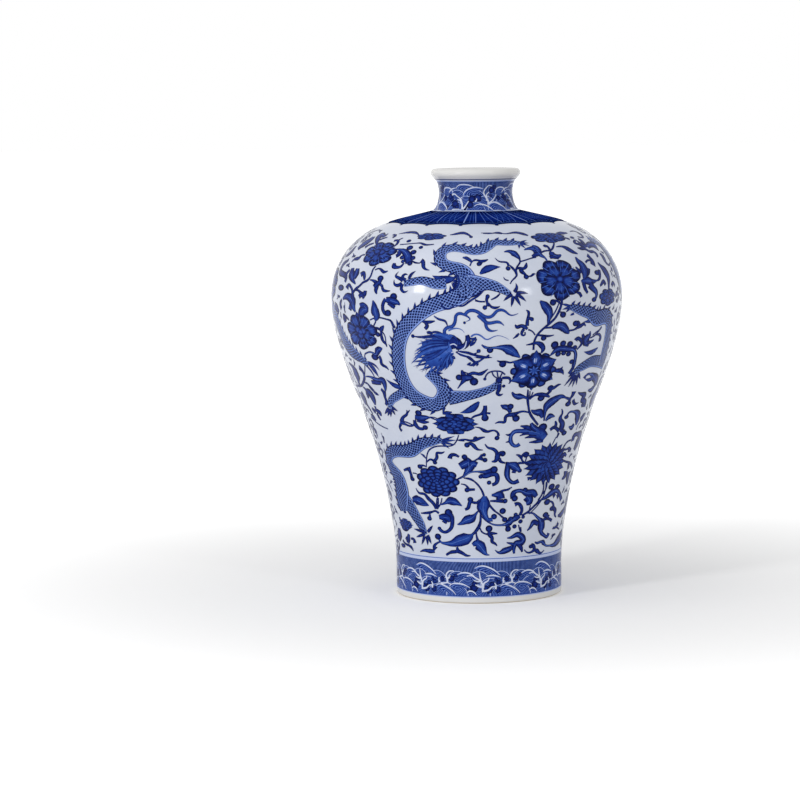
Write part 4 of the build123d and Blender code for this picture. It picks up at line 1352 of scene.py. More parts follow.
def pools(finish, scale, share):
    """How much deeper or thinner the cobalt pooled in cloudy patches: up to half a share either way."""
    return (finish.noise(scale) - 0.5) * share


def ripples(run, low, high):
    """1 on fine lines across the run of a stroke and 0 between them, with an edge from low to high."""
    return 1 - ((run / RIPPLE_PITCH).math("FRACT") - 0.5).size().ease(low, high)


def painted(finish, colours, depth, gloss=INK_GLOSS):
    """The glazed painting, by how deep the cobalt lies: from 0, the white glaze, to 1, nearly black."""
    stops = (
        (0.0, colours.reserve),
        (0.16, colours.wash),
        (0.42, colours.mid),
        (0.70, colours.deep),
        (1.0, colours.dark),
    )
    cobalt = finish.add("ShaderNodeValToRGB", {"stops": stops}, (depth,))
    return finish.surface(Base_Color=cobalt, Roughness=0.15, IOR=GLAZE_IOR, Specular_IOR_Level=gloss)


def ink_finish(name, colours, inside=0.72, edge=0.34, gloss=INK_GLOSS):
    """Brushed cobalt: dark where it pooled at the edges of a stroke, lighter inside, with heaped specks."""
    finish = Finish(name)
    _, across, _, ink = brush_marks(finish)
    rim = across.size().ease(0.35, 0.95)
    heap = finish.noise(1300.0).ease(0.5, 0.75)
    depth = ink * (inside + rim * edge + pools(finish, 260.0, 0.4) + heap * 0.14)
    return painted(finish, colours, depth, gloss)


def scale_finish(name, colours):
    """A dragon's hide: dark lozenge scales in a pale net.

    On the left of the stroke it has a pale strip with a thin line, and on the right a dark edge.
    """
    finish = Finish(name)
    run, across, half, ink = brush_marks(finish)
    down, over = run / SCALE_LENGTH, across * half / SCALE_WIDTH
    one = ((over + down).math("FRACT") - 0.5).size()
    other = ((over - down).math("FRACT") - 0.5).size()
    net = one.math("MAXIMUM", other).ease(0.30, 0.44)
    hide = 0.98 - net * 0.80 + pools(finish, 240.0, 0.25)
    depth = hide + (0.14 - hide) * across.ease(0.70, 0.80)
    line = across.ease(0.88, 0.95) * 0.72
    back = (0 - across).ease(0.78, 0.92) * 0.95
    return painted(finish, colours, depth.math("MAXIMUM", line).math("MAXIMUM", back) * ink)


def water_finish(name, colours):
    """Waves: fine pale lines that follow the crest on dark water, and a pale line along the crest."""
    finish = Finish(name)
    run, across, _, ink = brush_marks(finish)
    crown = across.ease(0.90, 0.97) * 0.8
    depth = ink * (0.86 - ripples(run, 0.10, 0.34) * 0.56 + pools(finish, 300.0, 0.35)) * (1 - crown)
    return painted(finish, colours, depth)


def rain_finish(name, colours):
    """The ground of a wave band: dark, with fine upright pale lines towards its upper edge."""
    finish = Finish(name)
    run, across, _, ink = brush_marks(finish)
    lines = ripples(run, 0.08, 0.32) * across.ease(-0.95, -0.1)
    return painted(finish, colours, ink * (0.95 - lines * 0.72 + pools(finish, 220.0, 0.3)))


# Sizes and colours that a user would change


def colour_choice(name, description, *display):
    """A colour property whose default is a display colour in parts of 255."""
    return bpy.props.FloatVectorProperty(
        name=name, description=description, subtype="COLOR", default=from_srgb(*display)
    )


class VaseSizes(bpy.types.PropertyGroup):
    """Sizes that a user would change."""

    segments: bpy.props.IntProperty(
        name="Turns", description="Flats round each turned section", default=256, min=32
    )


class VaseColours(bpy.types.PropertyGroup):
    """Colours of the glaze, the biscuit and the cobalt."""

    glaze: colour_choice("Glaze", "White porcelain under clear glaze", 209, 215, 229)
    glaze_pool: colour_choice("Glaze pool", "Where the glaze lies a little thicker", 202, 209, 226)
    plain_glaze: colour_choice(
        "Plain glaze", "The glaze of the lip and the foot rim, away from the painting", 228, 227, 225
    )
    reserve: colour_choice("Reserve", "White left between strokes of cobalt", 208, 216, 238)
    wash: colour_choice("Wash", "The thinnest cobalt", 124, 152, 218)
    mid: colour_choice("Cobalt", "Cobalt as the brush leaves it", 46, 86, 176)
    deep: colour_choice("Deep cobalt", "Where the cobalt pooled", 13, 38, 122)
    dark: colour_choice("Heaped cobalt", "Where the cobalt lies thickest", 2, 10, 60)
    biscuit: colour_choice("Biscuit", "Bare fired porcelain of the foot ring", 222, 212, 196)


# Turned sections


class VASE_OT_sections(bpy.types.Operator):
    """Turns the five sections and glazes them"""

    bl_idname = "vase.sections"
    bl_label = "Turned sections"

    def execute(self, context):
        sizes, colours = context.scene.vase_sizes, context.scene.vase_colours
        glazed = glaze_finish("clear_glaze", colours)
        footed = glaze_finish("clear_glaze_with_bare_foot", colours, bare_foot=True)
        for name in SECTIONS:
            foot = name == "foot_and_base"
            turn_section(name, sizes.segments, footed if foot else glazed)
        return {"FINISHED"}


# Bands of the foot and the neck: heights in mm


FOOT_BAND = (6.2, 33.6)
NECK_BAND = (311.8, 334.4)
# Plain lines: from one height to another, and ink
RING_LINES = (
    (4.8, 5.6, 0.05), (5.6, 6.2, 0.55), (33.6, 36.0, 0.05), (36.0, 36.5, 0.5), (36.5, 37.0, 0.05),
    (334.4, 335.3, 0.12), (336.0, 336.6, 1.0),
)
# White lines of the waves at the foot: half widths in mm of the crests, of the foam and of its round ends
CREST_HALF = 0.55
FOAM_PRESS = (0.8, 0.66, 0.5, 0.36)
FOAM_END = 0.55
# How far the crests rise over the swells, in mm
CREST_RISE = 0.04


class VASE_OT_ring_lines(bpy.types.Operator):
    """Paints the plain lines that part the bands"""

    bl_idname = "vase.ring_lines"
    bl_label = "Ring lines"

    def execute(self, context):
        work = Brushwork("ring_lines")
        for low, high, ink in RING_LINES:
            ring(work, outline.along_at(low), outline.along_at(high), ink)
        work.piece(ink_finish("ring_line_cobalt", context.scene.vase_colours))
        return {"FINISHED"}


def water_band(name, heights, crests, foams, hollows, repeats, size, colours):
    """A band of waves: dark water, crests and their fine lines, dark hollows, and white foam."""
    low, high = outline.along_at(heights[0]), outline.along_at(heights[1])
    ground = Brushwork(name + "_water")
    ring(ground, low, high, 1.0)
    ground.piece(rain_finish(name + "_ground", colours))
    fans, foam, dark = Brushwork(name + "_waves"), Brushwork(name + "_foam"), Brushwork(name + "_hollows")
    swells(fans, low, high, repeats)
    fans.level = CREST_RISE
    for route in crests:
        crest(fans, foam, picked(route), CREST_HALF * size)
    for group in hollows:
        for x, y, reach in group:
            dab(dark, spot(x, y), reach * size, reach * size, 0.95, petals=7, dip=0.35)
    fans.piece(water_finish(name + "_lines", colours), repeats)
    dark.piece(ink_finish(name + "_hollow_cobalt", colours), repeats)
    for route in foams:
        stroke(foam, picked(route), [half * size for half in FOAM_PRESS], 0.0, step=0.7)
        dab(foam, spot(*route[-1]), FOAM_END * size, FOAM_END * size, 0.0, sides=8, rings=1)
    foam.piece(ink_finish(name + "_foam_white", colours), repeats)


class VASE_OT_waves(bpy.types.Operator):
    """Paints the wave bands round the foot and the neck"""

    bl_idname = "vase.waves"
    bl_label = "Wave bands"

    def execute(self, context):
        colours = context.scene.vase_colours
        water_band("foot", FOOT_BAND, FOOT_CRESTS, FOOT_FOAM, FOOT_HOLLOWS, FOOT_REPEATS, 1.0, colours)
        water_band("neck", NECK_BAND, NECK_CRESTS, NECK_FOAM, NECK_HOLLOWS, NECK_REPEATS, 0.9, colours)
        return {"FINISHED"}


# The collar of lappets: heights in mm, how many lappets, the pixel of one point, and the scallops of its edge
COLLAR_TOP = 311.0
COLLAR_POINT = 301.4
COLLAR_LAPPETS = 16
COLLAR_START = (460, 227)
COLLAR_SCALLOP = 2.6
COLLAR_ROUNDNESS = 0.8
# Pale lines on two lappets: where each starts at the top and ends at the bottom, and how it sways between, in
# lappets, then its half width in mm and its ink
COLLAR_LINES = (
    (0.06, 0.06, 0.0, 0.6, 0.2), (0.42, 0.42, 0.0, 0.3, 0.3), (0.6, 0.72, 0.03, 0.26, 0.4),
    (0.76, 0.94, 0.03, 0.26, 0.4), (0.92, 1.22, 0.04, 0.36, 0.3), (1.1, 1.42, 0.04, 0.24, 0.5),
    (1.28, 1.62, 0.04, 0.24, 0.5), (1.46, 1.8, 0.04, 0.24, 0.5), (1.4, 1.08, -0.04, 0.24, 0.5),
    (1.6, 1.26, -0.04, 0.24, 0.5), (1.8, 1.46, -0.04, 0.24, 0.5), (1.98, 1.66, -0.04, 0.3, 0.4),
    (0.22, 0.24, 0.0, 0.22, 0.5), (0.34, 0.34, 0.0, 0.2, 0.5),
)
# They start this far below the top, and end this far above the points
COLLAR_LINE_START = 0.6
COLLAR_LINE_END = 5.2
# Lines along the edge: how far above it, half width and ink
COLLAR_EDGES = ((3.4, 0.22, 0.45), (1.6, 0.16, 0.6))
# A drop at each point: how far below it, half width and half height
COLLAR_DROP = (0.4, 1.5, 1.1)
# The pale line at the neck's root: how far below and above the collar's top
ROOT_LINE = (0.2, 0.8)


def scallop(turn):
    """How far the collar's edge rises between two points, where a lappet is half a turn."""
    return COLLAR_SCALLOP * np.abs(np.sin(turn)) ** COLLAR_ROUNDNESS


class VASE_OT_collar(bpy.types.Operator):
    """Paints the collar of lappets round the root of the neck"""

    bl_idname = "vase.collar"
    bl_label = "Lappet collar"

    def execute(self, context):
        colours = context.scene.vase_colours
        top, point = outline.along_at(COLLAR_TOP), outline.along_at(COLLAR_POINT)
        start = spot(*COLLAR_START)[0]
        pitch = 2 * math.pi / COLLAR_LAPPETS
        ground, lines = Brushwork("collar_ground"), Brushwork("collar_lines")
        angle = np.linspace(0, 2 * math.pi, 40 * COLLAR_LAPPETS + 1)[:, None]
        share = np.linspace(0, 1, 30)[None, :]
        edge = point + scallop(COLLAR_LAPPETS * (angle - start) / 2)
        along = edge + (top - edge) * share
        half = (top - point) / 2
        ground.lay(angle + 0 * share, along, along - point, 1 - 2 * share + 0 * angle, half, 1.0)
        ground.piece(ink_finish("collar_cobalt", colours, gloss=0.0))
        for low, high, sway, half, ink in COLLAR_LINES:
            middle = low * 0.6 + high * 0.4 + sway
            route = np.array((
                (start + low * pitch, top - COLLAR_LINE_START),
                (start + middle * pitch, (top + point) / 2),
                (start + high * pitch, point + COLLAR_LINE_END),
            ))
            stroke(lines, route, (0.5 * half, half, 0.7 * half), ink)
        for lappet in range(2):
            places = np.linspace(lappet, lappet + 1, 9)
            for above, half, ink in COLLAR_EDGES:
                route = np.column_stack((start + places * pitch, point + scallop(math.pi * places) + above))
                stroke(lines, route, (half,), ink)
        lines.piece(ink_finish("collar_pale_cobalt", colours, gloss=0.0), COLLAR_LAPPETS // 2)
        drops, rim = Brushwork("collar_points"), Brushwork("neck_root_line")
        below, wide, tall = COLLAR_DROP
        dab(drops, (start, point - below), wide, tall, 0.95)
        drops.piece(ink_finish("collar_point_cobalt", colours, gloss=0.0), COLLAR_LAPPETS)
        ring(rim, top - ROOT_LINE[0], top + ROOT_LINE[1], 0.1)
        rim.piece(ink_finish("neck_root_pale_cobalt", colours))
        return {"FINISHED"}


# Scroll: how the brush presses along its strokes, as half widths in mm from start to end


STEM_PRESS = (0.5, 0.66, 0.66, 0.5)
SIDE_STEM_PRESS = (0.6, 0.7, 0.7, 0.5)
VEIN_PRESS = (0.1, 0.26, 0.26, 0.1)
# The painted fronds and berries are this much broader than their picks
FROND_SWELL = 1.48
# A frond's ink: full, less a share of its half width in mm. From a half width on it has a pale vein
FROND_INK = 1.2
FROND_THINNING = 0.07
VEINED_FROM = 2.3


class VASE_OT_scroll(bpy.types.Operator):
    """Paints the stems, hooks, leaves and berries of the lotus scroll"""

    bl_idname = "vase.scroll"
    bl_label = "Scroll of stems and leaves"

    def execute(self, context):
        colours = context.scene.vase_colours
        stems, fronds = Brushwork("scroll_stems"), Brushwork("scroll_fronds")
        veins = Brushwork("scroll_veins")
        for route in STEMS:
            stroke(stems, picked(route), STEM_PRESS, 1.0)
        for route in SIDE_STEMS:
            stroke(stems, beside(route), SIDE_STEM_PRESS, 1.0)
        for picks in FRONDS:
            places, halves = picked(picks), widths(picks, FROND_SWELL)
            ink = FROND_INK - FROND_THINNING * max(halves)
            stroke(fronds, places, seen_halves(places, halves), ink, step=0.8, columns=5)
            if max(halves) > VEINED_FROM:
                stroke(veins, places[1:-1] if len(places) > 3 else places, VEIN_PRESS, 0.42, step=0.8)
        for x, y, reach in BALLS:
            place, reach = spot(x, y), reach * PIXEL_SPAN * FROND_SWELL
            dab(fronds, place, reach / max(math.cos(place[0]), LEAST_FACING), reach, 1.05, sides=12)
        stems.piece(ink_finish("stem_cobalt", colours), HALF_TURNS)
        fronds.piece(ink_finish("frond_cobalt", colours, inside=0.64, edge=0.40), HALF_TURNS)
        veins.piece(ink_finish("vein_cobalt", colours), HALF_TURNS)
        return {"FINISHED"}


# Blooms


# How the width of a long petal swells and falls from its root to its tip
ROUND_TIP = (0.5, 0.82, 1.0, 1.0, 0.86, 0.5, 0.0)
POINTED_TIP = (0.5, 0.85, 1.0, 0.9, 0.6, 0.25, 0.0)
# What each ring of petals adds to the lift in mm, and how far a lobed petal dips between its lobes
PETAL_RISE = 0.02
PETAL_DIP = 0.12
# Rings of petals from the edge of a bloom to its heart, in shares of the bloom's size.
# Round petals: how far out their middles lie, their number, size, ink, turn as a share of one's, and lobes.
# Long petals and pale streaks: where they start and end, their number, half width, ink, tip and turn.
# A heart: its size, ink, petals and dips.
BLOOMS = {
    "rose": (
        ("round", 0.64, 7, 0.40, 1.0, 0.25, 3),
        ("streak", 0.60, 0.95, 21, 0.016, 0.5, ROUND_TIP),
        ("round", 0.38, 5, 0.36, 1.0, 0.7, 5),
        ("streak", 0.36, 0.68, 15, 0.013, 0.5, ROUND_TIP, 0.2),
        ("round", 0.19, 3, 0.25, 1.0, 0.2, 4),
        ("round", 0.0, 1, 0.15, 0.8),
    ),
    "lotus": (
        ("round", 0.80, 6, 0.20, 1.0, 0.0, 3),
        ("long", 0.10, 1.06, 6, 0.40, 1.05, POINTED_TIP, 0.5),
        ("round", 0.62, 6, 0.33, 1.05, 0.5, 6),
        ("streak", 0.34, 0.74, 6, 0.13, 0.62, ROUND_TIP, 0.5),
        ("streak", 0.42, 0.66, 6, 0.03, 0.1, ROUND_TIP, 0.56),
        ("streak", 0.42, 0.68, 6, 0.02, 0.15, ROUND_TIP, 0.43),
        ("heart", 0.30, 1.05, 9, 0.2),
        ("streak", 0.10, 0.26, 7, 0.03, 0.5, ROUND_TIP),
    ),
    "peony": (
        ("round", 0.76, 11, 0.26, 1.0),
        ("round", 0.62, 11, 0.22, 1.0, 0.5),
        ("round", 0.44, 9, 0.19, 1.0),
        ("round", 0.26, 7, 0.16, 1.0, 0.5),
        ("round", 0.10, 4, 0.13, 1.0),
    ),
    "aster": (
        ("long", 0.45, 1.08, 19, 0.15, 1.15, POINTED_TIP),
        ("long", 0.35, 0.90, 16, 0.13, 1.1, POINTED_TIP, 0.5),
        ("long", 0.22, 0.72, 13, 0.13, 1.05, POINTED_TIP),
        ("long", 0.10, 0.52, 10, 0.13, 1.0, POINTED_TIP, 0.5),
        ("long", 0.0, 0.32, 7, 0.11, 1.0, POINTED_TIP),
    ),
    "bud": (
        ("long", 0.1, 1.08, 2, 0.5, 1.1, POINTED_TIP),
        ("long", 0.1, 0.98, 8, 0.30, 1.05, ROUND_TIP, 0.5),
        ("round", 0.46, 9, 0.21, 1.0),
        ("round", 0.22, 5, 0.2, 1.0, 0.5),
        ("round", 0.0, 1, 0.14, 0.8),
    ),
}


def long_petals(work, centre, wide, tall, inner, outer, count, half, ink, tip, phase=0.0):
    """A ring of long petals: each runs outward from a share of the bloom's ellipse to a larger one."""
    radius = outline.radius_at(centre[1])
    for number in range(count):
        spin = 2 * math.pi * (number + phase) / count
        way = np.array((wide * math.cos(spin) / radius, tall * math.sin(spin)))
        route = np.array((centre + way * inner, centre + way * (inner + outer) / 2, centre + way * outer))
        swell = half * (abs(wide * math.sin(spin)) + abs(tall * math.cos(spin)))
        stroke(work, route, [swell * share for share in tip], ink, step=0.7, columns=7)
    work.level += PETAL_RISE


def round_petals(work, centre, wide, tall, reach, count, size, ink, phase=0.0, lobes=0):
    """A ring of round petals, their middles on a share of the bloom's ellipse, their edges in lobes."""
    radius = outline.radius_at(centre[1])
    for number in range(count):
        spin = 2 * math.pi * (number + phase) / count
        middle = centre + reach * np.array((wide * math.cos(spin) / radius, tall * math.sin(spin)))
        dab(work, middle, size * wide, size * tall, ink, petals=lobes, dip=PETAL_DIP, sides=24, rings=4)
    work.level += PETAL_RISE


def bloom(work, lights, kind, centre, wide, tall):
    """A bloom seen from the front: rings of petals, each over the last and smaller, towards its heart."""
    work.level = 0.0
    for ring_kind, *values in BLOOMS[kind]:
        if ring_kind == "round":
            round_petals(work, centre, wide, tall, *values)
        elif ring_kind == "heart":
            size, *marks = values
            dab(work, centre, size * wide, size * tall, *marks)
        else:
            long_petals(lights if ring_kind == "streak" else work, centre, wide, tall, *values)


class VASE_OT_blooms(bpy.types.Operator):
    """Paints the roses, lotus, peony, aster and buds"""

    bl_idname = "vase.blooms"
    bl_label = "Blooms"

    def execute(self, context):
        colours = context.scene.vase_colours
        petals, lights = Brushwork("bloom_petals"), Brushwork("bloom_lights")
        for kind, x, y, wide, tall in FLOWERS:
            centre = spot(x, y)
            facing = max(LEAST_BLOOM_FACING, math.cos(centre[0]))
            bloom(petals, lights, kind, centre, wide * PIXEL_SPAN / facing, tall * PIXEL_SPAN)
        for kind, turn, height, wide, tall in SIDE_FLOWERS:
            bloom(petals, lights, kind, beside(((turn, height),))[0], wide, tall)
        petals.piece(ink_finish("petal_cobalt", colours, inside=0.54, edge=0.48), HALF_TURNS)
        lights.piece(ink_finish("petal_light_cobalt", colours), HALF_TURNS)
        return {"FINISHED"}


# Dragons: how the brush presses along their strokes, as half widths in mm from start to end


FACE_PRESS = (0.5, 0.95, 0.9, 0.4)
ARC_PRESS = (0.5, 0.8, 0.8, 0.4)
CLAW_PRESS = (1.3, 1.4, 1.0, 0.1)
TUFT_PRESS = (1.0, 1.0, 0.0)
SPINE_PRESS = (1.5, 0.9, 0.0)
WHISKER_PRESS = (0.7, 0.6, 0.3, 0.1)
RIBBON_PRESS = (1.35, 1.35, 1.2, 0.2)
LIGHT_PRESS = (0.3, 0.55, 0.3)
# A strand of the mane: shares of its half width, and how far it bows as a share of its length
STRAND_SHAPE = (1.0, 1.2, 0.8, 0.0)
STRAND_BOW = 0.10
# The mane: number of strands, half width in mm, and inks that they take in turn
MANE_STRANDS = ((34, 1.25, (0.55, 0.8)), (27, 0.5, (0.95, 1.0)))
# Length and pitch of the back fin's points in mm, on the dragon at the front and on the others
MAIN_FIN = (3.4, 6.4)
SIDE_FIN = (3.2, 5.6)
# They stand along this stretch of the back, start this share of its half width out, and lean by this share of
# their pitch
FIN_STRETCH = (0.02, 0.98)
FIN_ROOT = 0.9
FIN_LEAN = 0.4
# Ink of the hides that are seen at the edges: deeper than on the dragon at the front, partly their own
# denser cobalt and partly painted shade for the darker look of the glaze where it turns away at the sides
EDGE_INK_WITH_SHADE = 1.3


def fin(work, route, halves, length, pitch, side=-1.0):
    """A dragon's back fin: short hooked points along one edge of its body, leaning to its tail.

    The edge is the right one for side -1 and the left one for side 1.
    """
    halves = np.array(halves)
    count = max(3, int(route_length(route) / pitch))
    places = np.linspace(*FIN_STRETCH, count)
    base_angle, base_along, _, _ = carried(route, halves, places, np.full((1, 1), FIN_ROOT * side))
    lean = np.clip(places - FIN_LEAN * pitch / route_length(route), 0, 1)
    tip_angle, tip_along, _, _ = carried(route, halves + length, lean, np.full((1, 1), side))
    for number in range(count):
        base = np.array((base_angle[number, 0], base_along[number, 0]))
        tip = np.array((tip_angle[number, 0], tip_along[number, 0]))
        stroke(work, np.array((base, (base + tip) / 2, tip)), SPINE_PRESS, 0.9, step=0.7)


def limb(hides, route, halves, ink=1.0):
    """A dragon's limb or body: a scaled ribbon along a route."""
    stroke(hides, route, halves, ink, step=1.0, columns=9)


def strands(work, roots, edge, count, half, inks):
    """Hair from a line of roots to an edge: strands in even shares of both, bowed to either side in turn."""
    roots, edge = picked(roots), picked(edge)
    places = np.linspace(0, 1, count)
    start = smooth_through(np.linspace(0, 1, len(roots)), roots, places)
    stop = smooth_through(np.linspace(0, 1, len(edge)), edge, places)
    for number in range(count):
        radius = outline.radius_at(start[number, 1])
        way = stop[number] - start[number]
        side = np.array((-way[1], way[0] * radius**2)) / radius
        bow = STRAND_BOW * (1 if number % 2 else -1)
        middle = start[number] + way * 0.5 + side * bow
        route = np.array((start[number], middle, stop[number]))
        stroke(work, route, [share * half for share in STRAND_SHAPE], inks[number % len(inks)])


def dragon_details(under, over, claws, flames, tufts):
    """Claws that taper to a point, flames at the joints, and the tuft of a tail."""
    for route in claws:
        stroke(over, picked(route), CLAW_PRESS, 1.0, step=0.7, columns=5)
    for base, tip, half in flames:
        leaf(under, *picked((base, tip)), half * PIXEL_SPAN, 0.85, bend=0.12)
    for route in tufts:
        stroke(under, picked(route), TUFT_PRESS, 0.9)


class VASE_OT_dragons(bpy.types.Operator):
    """Paints the dragons"""

    bl_idname = "vase.dragons"
    bl_label = "Dragons"

    def execute(self, context):
        colours = context.scene.vase_colours
        under, hides = Brushwork("dragon_fins_and_flames"), Brushwork("dragon_hides")
        over, lights = Brushwork("dragon_heads_and_claws"), Brushwork("dragon_lights")
        dragon_details(under, over, MAIN_CLAWS, MAIN_FLAMES, [(TAIL_END, tip) for tip in MAIN_TUFT])
        dragon_details(under, over, SIDE_CLAWS, SIDE_FLAMES, SIDE_TUFTS)
        fin(under, picked(MAIN_BODY), widths(MAIN_BODY), *MAIN_FIN)
        for picks in SIDE_BODIES:
            fin(under, picked(picks), widths(picks), *SIDE_FIN)
        for picks in MAIN_LEGS:
            limb(hides, picked(picks), widths(picks))
        # The hides at the sides take the deeper ink: partly their own cobalt, partly painted shade of the
        # vase's edges
        for picks in (*SIDE_LEGS, *SIDE_BODIES):
            limb(hides, picked(picks), widths(picks), EDGE_INK_WITH_SHADE)
        for picks in (MAIN_BODY, MAIN_HAUNCH):
            limb(hides, picked(picks), widths(picks))
        self.paint_flank(under, hides)
        for route in MAIN_ARCS:
            stroke(over, picked(route), ARC_PRESS, 0.95)
        self.paint_head(over, lights)
        under.piece(ink_finish("fin_cobalt", colours), HALF_TURNS)
        hides.piece(scale_finish("scaled_cobalt", colours), HALF_TURNS)
        over.piece(ink_finish("claw_cobalt", colours), HALF_TURNS)
        lights.piece(ink_finish("dragon_light_cobalt", colours), HALF_TURNS)
        return {"FINISHED"}

    def paint_flank(self, under, hides):
        """A body across the side joins its head end on the right to its tail end, which is half a turn on."""
        route = np.vstack((picked(FLANK_HEAD_END), picked(FLANK_TAIL_END) + (math.pi, 0)))
        halves = widths((*FLANK_HEAD_END, *FLANK_TAIL_END))
        fin(under, route, halves, *SIDE_FIN, side=1.0)
        # The flank's hide takes the deeper ink too, partly painted shade of the vase's edges
        limb(hides, route, halves, EDGE_INK_WITH_SHADE)

    def paint_head(self, over, lights):
        """The mane streams back from the head; the face is drawn over it, with its whiskers and ribbons."""
        stroke(over, picked(MANE_MASS), widths(MANE_MASS), 0.55, columns=9)
        for count, half, inks in MANE_STRANDS:
            strands(over, MANE_ROOTS, MANE_EDGE, count, half, inks)
        stroke(over, picked(HEAD_MASS), widths(HEAD_MASS), 0.95, columns=7)
        for route in HEAD_STROKES:
            stroke(over, picked(route), FACE_PRESS, 0.95, step=0.8)
        for picks in FACE_STROKES:
            stroke(over, picked(picks), widths(picks), 1.0, step=0.8, columns=5)
        for x, y, reach in HEAD_DOTS:
            dab(over, spot(x, y), reach * PIXEL_SPAN, reach * PIXEL_SPAN, 0.95, sides=10)
        for route in WHISKERS:
            stroke(over, picked(route), WHISKER_PRESS, 0.5, step=0.8)
        for route in RIBBONS:
            stroke(over, picked(route), RIBBON_PRESS, 0.72, step=0.8, columns=5)
        for route in HEAD_LIGHTS:
            stroke(lights, picked(route), LIGHT_PRESS, 0.05, step=0.7)


# Sprigs, for the places that the scroll leaves bare


# Heights in mm between which they lie, how far from the painting is looked, and the pitch of their net, in mm
SPRIG_BAND = (39.5, 297.0)
SPRIG_REACH = 12.0
SPRIG_PITCH = 2.4
# A sprig wants this share of its size clear round its place, and keeps the other clear for those to come
SPRIG_WANTS = 0.9
SPRIG_KEEPS = 0.78
# Half width of a sprig's strokes: in mm, and for each mm of its size
SPRIG_LEAST_WIDTH = 0.40
SPRIG_WIDTH = 0.085
SPRIG_INK = 1.05
SPRIG_SEED = 11
# Strokes of a sprig: points, half widths, and the bud at the end, in shares of the sprig's size and width
SPRAY = (
    (
        ((-0.95, -0.10), (-0.50, -0.26), (-0.05, -0.02), (0.40, 0.26), (0.95, 0.10)),
        (0.3, 0.6, 0.9, 2.3, 0.1),
        0,
    ),
    (((-0.50, -0.26), (-0.62, 0.10), (-0.40, 0.42), (-0.12, 0.40)), (0.4, 0.7, 1.1, 0.8), 1.5),
    (((-0.05, -0.02), (0.20, -0.32), (0.52, -0.44), (0.70, -0.26)), (0.5, 1.0, 1.3, 0.6), 1.4),
    (((-0.30, -0.18), (-0.22, -0.50), (0.02, -0.66)), (0.5, 1.4, 0.1), 0),
)
COMMA = (
    (((-0.75, -0.35), (-0.20, -0.12), (0.18, 0.18), (0.62, 0.20)), (0.2, 0.8, 1.5, 0.7), 1.3),
    (((-0.20, -0.12), (-0.24, 0.22), (-0.06, 0.48)), (0.6, 1.0, 0.1), 0),
)
# Shape, size in mm, and how far from the front in radians it may lie at the nearest
SPRIGS = (
    (SPRAY, 11.0, 1.12),
    (SPRAY, 9.0, 1.12),
    (SPRAY, 7.2, 1.12),
    (COMMA, 5.4, 0.95),
    (COMMA, 3.8, 1.12),
)


def unrolled(places, spots):
    """Distances in mm on the unrolled glaze from each place to each spot or its copy half a turn on."""
    turn = (places[:, None, 0] - spots[None, :, 0] + math.pi / 2) % math.pi - math.pi / 2
    return np.hypot(turn * outline.radius_at(places[:, 1])[:, None], places[:, None, 1] - spots[None, :, 1])


def clearances(places, spots):
    """Distance in mm from places to the nearest painted spot, where it is less than the sprigs' reach.

    It is worked out row by row, for places that lie equally far along the outline.
    """
    found = np.full(len(places), SPRIG_REACH)
    for along in np.unique(places[:, 1]):
        row = places[:, 1] == along
        near = spots[np.abs(spots[:, 1] - along) < SPRIG_REACH]
        if len(near):
            found[row] = np.minimum(found[row], unrolled(places[row], near).min(axis=1))
    return found


def sprig(work, centre, size, spin, side, strokes):
    """Tapered strokes round a centre, turned by spin and mirrored by side; some end in a round bud."""
    turn = np.array(((math.cos(spin), math.sin(spin)), (-math.sin(spin), math.cos(spin))))
    width = SPRIG_LEAST_WIDTH + SPRIG_WIDTH * size
    for route, shares, bud in strokes:
        places = centre + np.array(route) * (size, size * side) @ turn / (outline.radius_at(centre[1]), 1)
        halves = [share * width for share in shares]
        stroke(work, places, halves, SPRIG_INK, step=1.0, columns=5 if max(shares) > 1.5 else 3)
        if bud:
            dab(work, places[-1], bud * width, bud * width, SPRIG_INK, sides=9, rings=1)


class VASE_OT_sprigs(bpy.types.Operator):
    """Fills the places that the scroll leaves bare with small sprigs"""

    bl_idname = "vase.sprigs"
    bl_label = "Sprigs"

    def execute(self, context):
        """Places lie on an even net and are taken in a shuffled order, for the largest sprigs first."""
        chance = np.random.default_rng(SPRIG_SEED)
        low, high = outline.along_at(SPRIG_BAND[0]), outline.along_at(SPRIG_BAND[1])
        rows = np.arange(low, high, SPRIG_PITCH)
        turns = [np.arange(0.0, math.pi, SPRIG_PITCH / outline.radius_at(along)) for along in rows]
        places = np.column_stack((np.concatenate(turns), np.repeat(rows, [len(turn) for turn in turns])))
        clear = clearances(places, np.vstack(PAINTED))
        side_on = np.minimum(places[:, 0], math.pi - places[:, 0])
        work = Brushwork("scroll_sprigs")
        for strokes, size, nearest in SPRIGS:
            for number in chance.permutation(len(places)):
                if clear[number] < size * SPRIG_WANTS or side_on[number] < nearest:
                    continue
                place = places[number]
                sprig(work, place, size, chance.uniform(0, 2 * math.pi), chance.choice((-1, 1)), strokes)
                clear = np.minimum(clear, unrolled(place[None], places)[0] - SPRIG_KEEPS * size)
        work.piece(ink_finish("sprig_cobalt", context.scene.vase_colours, inside=0.70, edge=0.36), HALF_TURNS)
        return {"FINISHED"}


# Stage


WHITE = (1, 1, 1)
SEEN_RAYS = ("Is Camera Ray", "Is Glossy Ray", "Is Transmission Ray")
ROOM_LIGHT = 0.57
# The floor's half width in metres. It is lifted to white by the first share, and by the second as well from
# one distance to another
FLOOR_REACH = 30.0
FLOOR_LIFTS = (0.16, 0.55)
FLOOR_LIFTED = (0.16, 0.9)
# Soft boxes: place and aim in metres, width, height and power in watts
LAMPS = (
    ("left_box", (-1.40, -1.38, 0.82), (0.0, 0.0, 0.25), 0.30, 0.38, 11.5),
    ("right_box", (1.25, -1.53, 0.68), (0.0, 0.0, 0.25), 0.24, 0.30, 4.0),
    ("top_box", (-0.6, -0.5, 2.1), (0.0, 0.0, 0.2), 1.2, 1.2, 5.0),
)


